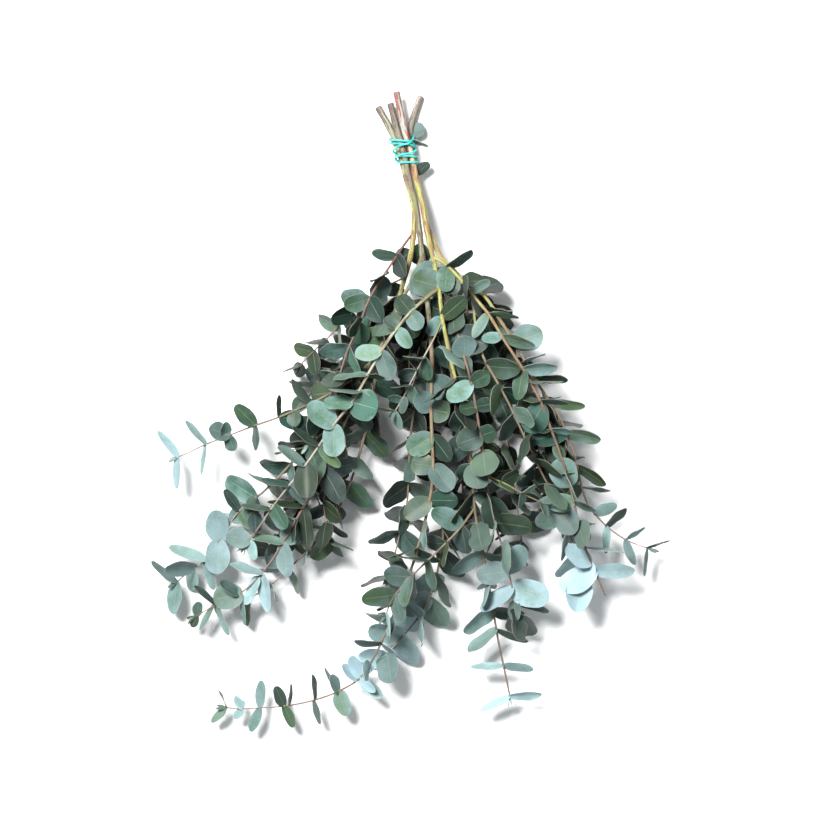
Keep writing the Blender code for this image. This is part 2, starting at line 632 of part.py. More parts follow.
def ring_places(pairs, length):
    """Where a stem's rings go: halfway between pairs of leaves, so that no leaf grows on a ring."""
    bare = pairs[0] - RING_STEP / 2
    count = max(1, round(bare / RING_STEP))
    places = [bare * n / count for n in range(count + 1)]
    for a, b in zip(pairs, pairs[1:]):
        bare = b - a - RING_STEP
        if bare < RING_STEP / 2:
            places.append((a + b) / 2)
        else:
            count = max(1, round(bare / RING_STEP))
            places += [a + RING_STEP / 2 + bare * n / count for n in range(count + 1)]
    if length - pairs[-1] > RING_STEP / 2:
        places.append((pairs[-1] + length) / 2)
    return places + [length]


# Closed shapes


def tube(centres, radii, frames, sides):
    """Points and faces of a round stem with flat ends. Its rings may go from eight sides to four once."""
    points, faces, starts = [], [], []
    for centre, radius, (level, upright, turn), count in zip(centres, radii, frames, sides):
        starts.append(len(points))
        for side in range(count):
            angle = turn + 2 * math.pi * (side + 0.5) / count
            points.append(centre + radius * (math.cos(angle) * level + math.sin(angle) * upright))
    faces.append(tuple(range(sides[0])))
    for ring in range(len(centres) - 1):
        a, b = starts[ring], starts[ring + 1]
        here, there = sides[ring], sides[ring + 1]
        for side in range(there):
            after = (side + 1) % there
            if here == there:
                faces.append((a + after, a + side, b + side, b + after))
            else:
                faces.append((a + 2 * side + 1, a + 2 * side, b + side))
                faces.append((a + (2 * side + 2) % here, a + 2 * side + 1, b + side, b + after))
    faces.append(tuple(starts[-1] + side for side in reversed(range(sides[-1]))))
    return points, faces


def stem_rings(shoot, curve, pairs):
    """Centre, radius, frame and sides of every ring. Where leaves grow, the stem has four sides."""
    length = curve[1][-1]
    rings = []
    for distance in ring_places(pairs, length):
        spot, _, level, upright = place_on(curve, distance)
        leafy = distance > shoot.first_pair - 0.8 * RING_STEP
        sides = LEAFY_SIDES if leafy else shoot.sides
        rings.append((spot, radius_at(shoot, length, distance), (level, upright, shoot.roll), sides))
    return rings


def stem_shape(shoot, curve, pairs):
    return tube(*zip(*stem_rings(shoot, curve, pairs)))


def leaf_surface(axis, along, face, stem_radius, length, width, curl):
    """A leaf's middle surface: its root inside the stem, pairs of edge points, and the tip."""
    side = along.cross(face)
    reach = stem_radius + LEAF_STAND_OFF
    points = [axis + along * max(0.0, stem_radius * math.cos(math.pi / LEAFY_SIDES) - ROOT_DEPTH)]
    for share, wide in LEAF_OUTLINE if width > SMALL_LEAF else SMALL_OUTLINE:
        middle = axis + along * (reach + length * share) + face * (curl * length * share**2)
        points.append(middle - side * (wide * width / 2))
        points.append(middle + side * (wide * width / 2))
    points.append(axis + along * (reach + length) + face * (curl * length))
    return points


def leaf_faces(count, with_root=True):
    """The triangles of a leaf's middle surface with this many points, and the points round its edge."""
    strips = [(0, 2, 1)] if with_root else []
    for n in range(1, count - 3, 2):
        strips += [(n, n + 1, n + 3), (n, n + 3, n + 2)]
    strips.append((count - 3, count - 2, count - 1))
    edge = [0] if with_root else []
    edge += list(range(1, count - 2, 2)) + [count - 1] + list(range(count - 2, 0, -2))
    return strips, edge


def thicken(surface, thickness, strips, edge, grow=0.0):
    """Points and faces of the closed blade round a middle surface. A point under the table is laid on it."""
    half = thickness / 2
    used = sorted(set(edge))
    place = {old: new for new, old in enumerate(used)}
    normals = {i: Vector() for i in used}
    for a, b, c in strips:
        normal = (surface[b] - surface[a]).cross(surface[c] - surface[a])
        for i in (a, b, c):
            normals[i] += normal
    centre = sum((surface[i] for i in used), Vector()) / len(used)
    upper, lower = [], []
    for i in used:
        point = surface[i] + (surface[i] - centre).normalized() * grow
        normal = normals[i].normalized()
        if point.z - abs(normal.z) * half <= 0.0:
            point.z = half - grow
            normal = Vector((0, 0, math.copysign(1, normals[i].z)))
        upper.append(point + normal * half)
        lower.append(point - normal * half)
    count = len(used)
    faces = [tuple(place[i] for i in strip) for strip in strips]
    faces += [tuple(count + place[i] for i in reversed(strip)) for strip in strips]
    for a, b in zip(edge, edge[1:] + edge[:1]):
        a, b = place[a], place[b]
        faces.append((a, b, count + b, count + a))
    return upper + lower, faces


def tree_of(shape):
    return BVHTree.FromPolygons(*shape)


# Where the leaves lie


def wanted_leaf(shoot, curve, pairs, pair, side, draw):
    """How one leaf would lie with nothing in its way, and the sizes that it has there."""
    length = curve[1][-1]
    distance = pairs[pair]
    last = length - shoot.bare_end
    share = min(1, (distance - shoot.first_pair) / max(last - shoot.first_pair, 1e-6))
    leaf_length = shoot.leaf_length[0] + (shoot.leaf_length[1] - shoot.leaf_length[0]) * share
    leaf_width = shoot.leaf_width[0] + (shoot.leaf_width[1] - shoot.leaf_width[0]) * share
    return {
        "spot": place_on_chord(curve, pairs, distance),
        "stem_radius": radius_at(shoot, length, distance),
        "roll": shoot.roll + math.pi / 2 * pair + math.pi * side + draw.uniform(-0.22, 0.22),
        "spread": LEAF_SPREAD + draw.uniform(-0.24, 0.20),
        "light": draw.uniform(*LEAF_TURN_TO_LIGHT),
        "length": leaf_length * draw.uniform(0.96, 1.14),
        "width": leaf_width * draw.uniform(0.95, 1.20),
        "curl": draw.uniform(*LEAF_CURL),
    }


def pose_leaf(leaf, roll, spread, twist, size):
    """The leaf's root, direction and upper face, and its length, once it is turned by these amounts."""
    root, ahead, level, upright = leaf["spot"]
    angle = leaf["roll"] + roll
    outward = math.cos(angle) * level + math.sin(angle) * upright
    opening = leaf["spread"] + spread
    along = (math.cos(opening) * ahead + math.sin(opening) * outward).normalized()
    length = leaf["length"] * size
    lowest = root.z + along.z * (leaf["stem_radius"] + LEAF_STAND_OFF + length)
    if lowest < -DEEPEST_PRESS:
        level_part = Vector((along.x, along.y, 0)).normalized()
        slope = (root.z + DEEPEST_PRESS) / (leaf["stem_radius"] + LEAF_STAND_OFF + length)
        along = level_part * math.sqrt(1 - slope**2) - Vector((0, 0, slope))
    inward = ahead * math.sin(opening) - outward * math.cos(opening)
    face = (inward - along * inward.dot(along)).normalized()
    sky = Vector((0, 0, 1)) - along * along.z
    sky.normalize()
    turn = math.atan2(face.cross(sky).dot(along), face.dot(sky))
    turn = turn * leaf["light"] + twist
    face = face * math.cos(turn) + along.cross(face) * math.sin(turn)
    return root, along, face.normalized(), length


def ways_to_lie(draw):
    """Turns to try, from none to large ones: about the stem, off the stem, about its own length, and size."""
    yield 0, 0, 0, 1
    for n in range(1, PLACE_TRIES):
        reach = 0.25 + 0.75 * n / PLACE_TRIES
        roll = draw.uniform(-0.75, 0.75) * reach
        spread = draw.uniform(-0.75, 0.45) * reach
        twist = draw.uniform(-1.3, 1.3) * reach
        yield roll, spread, twist, 1 - 0.22 * draw.random() * reach


class Foliage:
    """Every stem and leaf placed so far, for asking whether a new leaf lies clear of them."""

    def __init__(self):
        self.trees = []
        self.branches = []
        self.centres = np.empty((0, 3))
        self.reaches = np.empty(0)

    def add(self, shape, branch):
        points = np.array([tuple(p) for p in shape[0]])
        centre = (points.min(0) + points.max(0)) / 2
        self.trees.append(tree_of(shape))
        self.branches.append(branch)
        self.centres = np.vstack([self.centres, centre])
        reach = np.linalg.norm(points - centre, axis=1).max()
        self.reaches = np.append(self.reaches, reach)

    def is_clear(self, whole, blade, branch):
        """A leaf's blade keeps clear of its own branch too, where the root has to touch."""
        points = np.array([tuple(p) for p in whole[0]])
        centre = (points.min(0) + points.max(0)) / 2
        reach = np.linalg.norm(points - centre, axis=1).max()
        near = np.linalg.norm(self.centres - centre, axis=1) < self.reaches + reach
        whole_tree, blade_tree = tree_of(whole), tree_of(blade)
        for i in np.nonzero(near)[0]:
            tree = blade_tree if self.branches[i] == branch else whole_tree
            if tree.overlap(self.trees[i]):
                return False
        return True


def room_round(surface):
    """The shape of a leaf with its clearance all round, whole and without its root."""
    thickness = LEAF_THICKNESS + 2 * LEAF_CLEARANCE
    whole = thicken(surface, thickness, *leaf_faces(len(surface)), LEAF_CLEARANCE)
    blade = thicken(surface, thickness, *leaf_faces(len(surface), False), LEAF_CLEARANCE)
    return whole, blade


def ruled_ways(shoot, curve, pairs, pair, side, draw):
    """Each way that a leaf which only follows the rule may lie, from the wanted one on."""
    leaf = wanted_leaf(shoot, curve, pairs, pair, side, draw)
    for way in ways_to_lie(draw):
        root, along, face, length = pose_leaf(leaf, *way)
        yield root, along, face, leaf["stem_radius"], length, leaf["width"] * way[3], leaf["curl"]


def set_ways(shoot, curve, pairs, leaf, place, draw):
    """Each way that a set leaf may lie, from the one that the table gives on."""
    root = place_on_chord(curve, pairs, place)[0]
    radius = radius_at(shoot, curve[1][-1], place)
    angle, rise, length, width, turn = leaf[2:]
    reach = length / 1000 - radius - LEAF_STAND_OFF
    curl = draw.uniform(*SET_CURL)
    for roll, spread, twist, size in ways_to_lie(draw):
        heading = math.radians(angle) + 0.4 * roll
        climb = math.radians(rise) + 0.8 * spread
        if root.z + math.sin(climb) * length / 1000 < -DEEPEST_PRESS:
            climb = -math.asin((root.z + DEEPEST_PRESS) / (length / 1000))
        along = Vector((math.cos(heading), math.sin(heading), 0)) * math.cos(climb)
        along.z = math.sin(climb)
        sky = (Vector((0, 0, 1)) - along * along.z).normalized()
        lean = math.radians(turn) + 0.5 * twist
        face = sky * math.cos(lean) + along.cross(sky) * math.sin(lean)
        yield root, along, face, radius, reach * size, width / 1000 * size, curl


def first_clear(ways, branch, foliage):
    """The first of these ways to lie that is clear of everything, with its solid shape, or None."""
    for way in ways:
        surface = leaf_surface(*way)
        if foliage.is_clear(*room_round(surface), branch):
            shape = thicken(surface, LEAF_THICKNESS, *leaf_faces(len(surface)))
            foliage.add(shape, branch)
            return way, shape
    return None


def grow_leaves(foliage, curves, pairs):
    """Lays the set leaves and then the rest, as (shoot, place along it, way, shape, whether it was set)."""
    grown = []
    for shoot in SHOOTS:
        curve, nodes = curves[shoot.name], pairs[shoot.name]
        for number, (leaf, place) in enumerate(set_places(shoot, curve)):
            draw = random.Random(1000 * len(grown) + number)
            found = first_clear(
                set_ways(shoot, curve, nodes, leaf, place, draw), shoot.branch, foliage
            )
            if found:
                grown.append((shoot, place, *found, True))
    for number, shoot in enumerate(SHOOTS):
        curve, nodes = curves[shoot.name], pairs[shoot.name]
        taken = [place for _, place in set_places(shoot, curve)]
        for pair, place in enumerate(nodes):
            if any(abs(place - other) < SAME_NODE for other in taken):
                continue
            for side in (0, 1):
                draw = random.Random(10000 * number + 10 * pair + side)
                found = first_clear(
                    ruled_ways(shoot, curve, nodes, pair, side, draw), shoot.branch, foliage
                )
                if found:
                    grown.append((shoot, place, *found, False))
    return grown


# Band


def band_lift(turn):
    """How far the strand stands off the bunch here to lie on the turns before."""
    if not BAND_OVER[0] < turn < BAND_OVER[1]:
        return 0.0
    from_edge = min(turn % 0.5, 0.5 - turn % 0.5)
    t = min(1, from_edge / BAND_CLIMB)
    return (2 * BAND_RADIUS + BAND_GAP) * t * t * (3 - 2 * t)


def band_level(turn):
    """The strand's Y after this many turns: over from left to right, and under to the next left."""
    n = int(turn)
    (left, right), after = BAND_TURNS[n], BAND_TURNS[(n + 1) % len(BAND_TURNS)][0]
    share = 2 * (turn - n)
    return left + (right - left) * share if share < 1 else right + (after - right) * (share - 1)


def stems_at(mains, y):
    """Centre, radius and slopes of each of the four stems where it crosses this Y."""
    crossings = []
    for rings in mains:
        ring = next(n for n in range(len(rings)) if rings[n + 1][0].y < y)
        a, b = rings[ring], rings[ring + 1]
        share = (y - a[0].y) / (b[0].y - a[0].y)
        run = b[0] - a[0]
        crossings.append((a[0] + run * share, a[1], run.x / run.y, run.z / run.y))
    return crossings


def band_shape(mains):
    """An endless band wound down the four stems and slantwise back up over itself."""
    centres, frames = [], []
    count = len(BAND_TURNS) * BAND_STEPS
    for n in range(count):
        turn = n / BAND_STEPS
        angle = math.pi - 2 * math.pi * turn
        y = band_level(turn)
        outward = Vector((math.cos(angle), 0, math.sin(angle)))
        off = BAND_GAP + BAND_RADIUS + band_lift(turn)
        spots = []
        for spot, radius, slope_x, slope_z in stems_at(mains, y):
            lean = slope_x * outward.x + slope_z * outward.z
            # A round stem that slants through the level of this strand has an oval section there.
            stretch = math.sqrt(1 + lean * lean)
            oval = outward + Vector((slope_x, 0, slope_z)) * lean
            spots.append(spot + oval * (radius / stretch) + outward * off)
        centres.append(max(spots, key=lambda spot: spot.dot(outward)))
        frames.append((outward, Vector((0, 1, 0)), 0))
    points, faces = tube(
        centres + centres[:1], [BAND_RADIUS] * (count + 1), frames + frames[:1], [BAND_SIDES] * (count + 1)
    )
    points = points[:-BAND_SIDES]
    faces = [tuple(i % len(points) for i in face) for face in faces[1:-1]]
    return points, faces


# Objects


def material(name, colour):
    finish = bpy.data.materials.new(name)
    finish.use_nodes = True
    shader = finish.node_tree.nodes["Principled BSDF"]
    shader.inputs["Base Color"].default_value = (*colour, 1)
    shader.inputs["Roughness"].default_value = 0.6
    shader.inputs["Metallic"].default_value = 0.0
    return finish


def solid(name, shape):
    points, faces = shape
    mesh = bpy.data.meshes.new(name)
    mesh.from_pydata([tuple(p) for p in points], [], faces)
    shaped = bmesh.new()
    shaped.from_mesh(mesh)
    bmesh.ops.recalc_face_normals(shaped, faces=shaped.faces)
    shaped.to_mesh(mesh)
    shaped.free()
    thing = bpy.data.objects.new(name, mesh)
    bpy.context.scene.collection.objects.link(thing)
    return thing


def join(thing, others):
    """Fuses the others into thing by one union, and removes them."""
    group = bpy.data.collections.new(thing.name + "_grown")
    bpy.context.scene.collection.children.link(group)
    for other in others:
        bpy.context.scene.collection.objects.unlink(other)
        group.objects.link(other)
    union = thing.modifiers.new("grown", "BOOLEAN")
    union.operation = "UNION"
    union.operand_type = "COLLECTION"
    union.collection = group
    union.solver = "MANIFOLD"
    bpy.context.view_layer.update()
    evaluated = thing.evaluated_get(bpy.context.evaluated_depsgraph_get())
    fused = bpy.data.meshes.new_from_object(evaluated)
    thing.modifiers.clear()
    thing.data = fused
    for other in others:
        bpy.data.objects.remove(other)
    bpy.data.collections.remove(group)


def build_branch(name, stems, leaves):
    own = [s for s in SHOOTS if s.branch == name]
    main = next(s for s in own if s.sides == MAIN_SIDES)
    branch = solid(name, stems[main.name])
    grown = [solid(s.name, stems[s.name]) for s in own if s is not main]
    shapes = [
        shape
        for shoot, _, way, shape, was_set in leaves
        if shoot.branch == name and (was_set or way[5] > SLENDER_LEAF)
    ]
    grown += [solid(f"{name}_leaf_{n}", shape) for n, shape in enumerate(shapes)]
    join(branch, grown)
    branch.data.materials.clear()
    branch.data.materials.append(material(name, COLOURS[name]))
    return branch


def build_band(shape):
    band = solid("tie", shape)
    band.data.materials.append(material("tie", COLOURS["tie"]))
    return band


def stand_on_table(things):
    """Moves the whole bunch so that its lowest point is at Z 0 and its box is centred on the origin."""
    corners = np.array([tuple(v.co) for thing in things for v in thing.data.vertices])
    low, high = corners.min(0), corners.max(0)
    shift = Vector((-(low[0] + high[0]) / 2, -(low[1] + high[1]) / 2, -low[2]))
    for thing in things:
        thing.location = shift


def main():
    clear_scene()
    curves = {s.name: smooth_route(s.route) for s in SHOOTS}
    pairs = {s.name: pair_places(s, curves[s.name]) for s in SHOOTS}
    stems = {s.name: stem_shape(s, curves[s.name], pairs[s.name]) for s in SHOOTS}
    mains = [s for s in SHOOTS if s.sides == MAIN_SIDES]
    foliage = Foliage()
    for shoot in SHOOTS:
        foliage.add(stems[shoot.name], shoot.branch)
    band = band_shape([stem_rings(s, curves[s.name], pairs[s.name]) for s in mains])
    foliage.add(band, "tie")
    leaves = grow_leaves(foliage, curves, pairs)
    names = [name for name in COLOURS if name != "tie"]
    things = [build_branch(name, stems, leaves) for name in names] + [build_band(band)]
    stand_on_table(things)


main()
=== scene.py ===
"""A tied bunch of silver-dollar eucalyptus, with the finish of every stem, leaf and turn of the band.

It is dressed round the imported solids, which stay where they are. Metres, +Z up from the table.
"""

import math
import random
from dataclasses import dataclass

import bpy
import numpy as np
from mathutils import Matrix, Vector
from mathutils.bvhtree import BVHTree


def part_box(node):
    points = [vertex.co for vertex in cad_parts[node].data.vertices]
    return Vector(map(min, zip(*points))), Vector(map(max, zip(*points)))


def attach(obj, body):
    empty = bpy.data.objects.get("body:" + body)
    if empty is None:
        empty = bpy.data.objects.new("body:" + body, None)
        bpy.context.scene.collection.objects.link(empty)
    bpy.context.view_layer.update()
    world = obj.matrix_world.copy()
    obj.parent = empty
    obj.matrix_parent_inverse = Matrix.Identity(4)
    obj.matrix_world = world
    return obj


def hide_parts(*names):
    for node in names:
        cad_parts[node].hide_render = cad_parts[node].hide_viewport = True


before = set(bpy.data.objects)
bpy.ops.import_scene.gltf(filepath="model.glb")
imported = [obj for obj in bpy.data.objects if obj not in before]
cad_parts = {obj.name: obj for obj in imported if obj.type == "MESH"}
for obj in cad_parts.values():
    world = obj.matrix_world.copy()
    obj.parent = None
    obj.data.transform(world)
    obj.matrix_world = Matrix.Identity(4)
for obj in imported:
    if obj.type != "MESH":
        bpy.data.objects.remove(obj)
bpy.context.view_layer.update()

# STEMS
# Four woody branches, each cut with pruning shears and still carrying its green side shoots. Bark is
# brown and grey where it is old, yellow-green higher up, and rosy with a white bloom at the young tips.
# Each shoot grew out of its branch, so a branch's stems are one piece.

MAIN_SIDES = 8
LEAFY_SIDES = 4
RING_STEP = 0.024  # between rings where no leaves grow
LEAFY_START = 0.8 * RING_STEP  # before the first pair, where a main stem gets four sides
CURVE_STEPS = 12  # fine steps between two points of a route
SLOPE_STEP = 0.004  # to either side of a place, for the way that the stem heads there
TIP_REST = 0.001  # the last leaves grow this far before the tip
SAME_NODE = 0.0045  # leaves rooted this close together share a node of the stem
RULED_ROOM = 0.5  # share of the usual spacing that a set node keeps free of other nodes
FINE_SIDES = 10
FINE_MAIN_STEP, FINE_SHOOT_STEP = 0.0016, 0.0011
LEAFY_SLIMNESS = 0.80  # a leafy stem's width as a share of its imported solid's
SLIMMING_LENGTH = 0.05  # over which a main stem gets as slim as that
NODE_SWELLING = 0.22  # how much thicker a stem is where a pair of leaves grows
NODE_LENGTH = 0.0022
NODE_SCAR = 0.45  # how much darker the leaf scars beside a node are
WANDER = ((0.03, 310, 7), (0.02, 97, 0))  # how a stem's width varies: share, pace, and start by its roll
TIP_TAPER = 0.45
DRIED_END = 0.009  # how far the bark has darkened from the cut
DRIED_DARKNESS = 0.75
# Share of the radius, and depth behind the outermost point, of the rings across a cut end
CUT_RINGS = ((0.02, 0.0), (0.18, 0.00001), (0.55, 0.00002), (0.86, 0.00003), (0.97, 0.00025))
CUT_DEPTH = 0.0006

CUT_PITH = (0.20, 0.12, 0.06)
CUT_WOOD = (0.62, 0.50, 0.33)
CUT_EDGE = (0.10, 0.06, 0.05)
STREAK_DARK = (0.030, 0.018, 0.012)
BARK_DUST = (0.66, 0.66, 0.56)
BARK_SPECK = (0.10, 0.065, 0.045)
BARK_STRETCH = 36.0  # how much longer than wide the streaks are
BARK = {
    "brown": (0.200, 0.130, 0.085),
    "purple_brown": (0.110, 0.060, 0.055),
    "corky": (0.240, 0.205, 0.150),
    "grey_green": (0.350, 0.350, 0.230),
    "pale_green": (0.560, 0.560, 0.410),
    "yellow_green": (0.430, 0.460, 0.110),
    "olive": (0.200, 0.220, 0.060),
    "tan": (0.260, 0.210, 0.115),
    "rusty": (0.360, 0.170, 0.065),
    "red": (0.200, 0.040, 0.025),
    "crimson": (0.360, 0.055, 0.070),
    "rosy": (0.235, 0.130, 0.105),
    "pinkish": (0.370, 0.270, 0.230),
    "bloomy": (0.560, 0.500, 0.440),
}
# Bark from the start of each stem to its tip
BARK_OF = {
    "outer_main": "pale_green grey_green yellow_green yellow_green olive tan tan pinkish pinkish",
    "inner_main": "corky corky olive grey_green tan tan tan rosy pinkish",
    "centre_main": "pale_green bloomy yellow_green yellow_green yellow_green yellow_green tan tan rosy",
    "right_main": "corky corky bloomy yellow_green yellow_green tan tan rosy bloomy",
    "over_left": "yellow_green grey_green pale_green bloomy bloomy pinkish",
    "yellow_right": "yellow_green yellow_green tan rosy brown rosy",
    "red": "red red rosy rosy",
    "thin_left": "olive brown rosy",
    "rosy": "tan rosy rosy pinkish",
    "brown_right": "yellow_green tan brown rosy",
    "cross_right": "yellow_green yellow_green tan",
    "pale_thin": "yellow_green bloomy bloomy",
}
BARK_USUAL = "olive tan tan rosy pinkish"
# What the broad streaks are tinted with, from the start of each stem to its tip
TINT_OF = {
    "outer_main": "purple_brown brown rusty olive brown brown brown",
    "inner_main": "purple_brown brown purple_brown rusty brown brown rosy",
    "centre_main": "crimson crimson rusty rusty rusty brown brown rosy",
    "right_main": "bloomy purple_brown rusty rusty brown brown rosy",
    "over_left": "rusty tan tan rosy rosy",
    "yellow_right": "yellow_green rusty rusty brown brown",
}
TINT_USUAL = "brown brown rosy"

# Where side shoots fork from their stems, in millimetres
FORK_RED = (4, 177, 37)
FORK_THIN = (-5, 131, 44.5)
FORK_FAR_LEFT = (-39, 47, 43)
FORK_LOW_LEFT = (-61, 13, 40)
FORK_LONG_LEFT = (12.5, 153, 45)
FORK_DEEP_LEFT = (-31, 56, 59)
FORK_UNDER = (22, 51, 50)
FORK_BENEATH = (23, -64, 60)
FORK_YELLOW = (23, 151, 47)
FORK_OVER = (29, 120, 56)
FORK_PALE = (32, 91, 62)
FORK_MIDDLE = (38, 61, 65)
FORK_CROSS = (62, -61, 55)
FORK_BACK = (64, -97, 51)
FORK_ROSY = (44, 138, 45)
FORK_BROWN = (59, 123, 50)


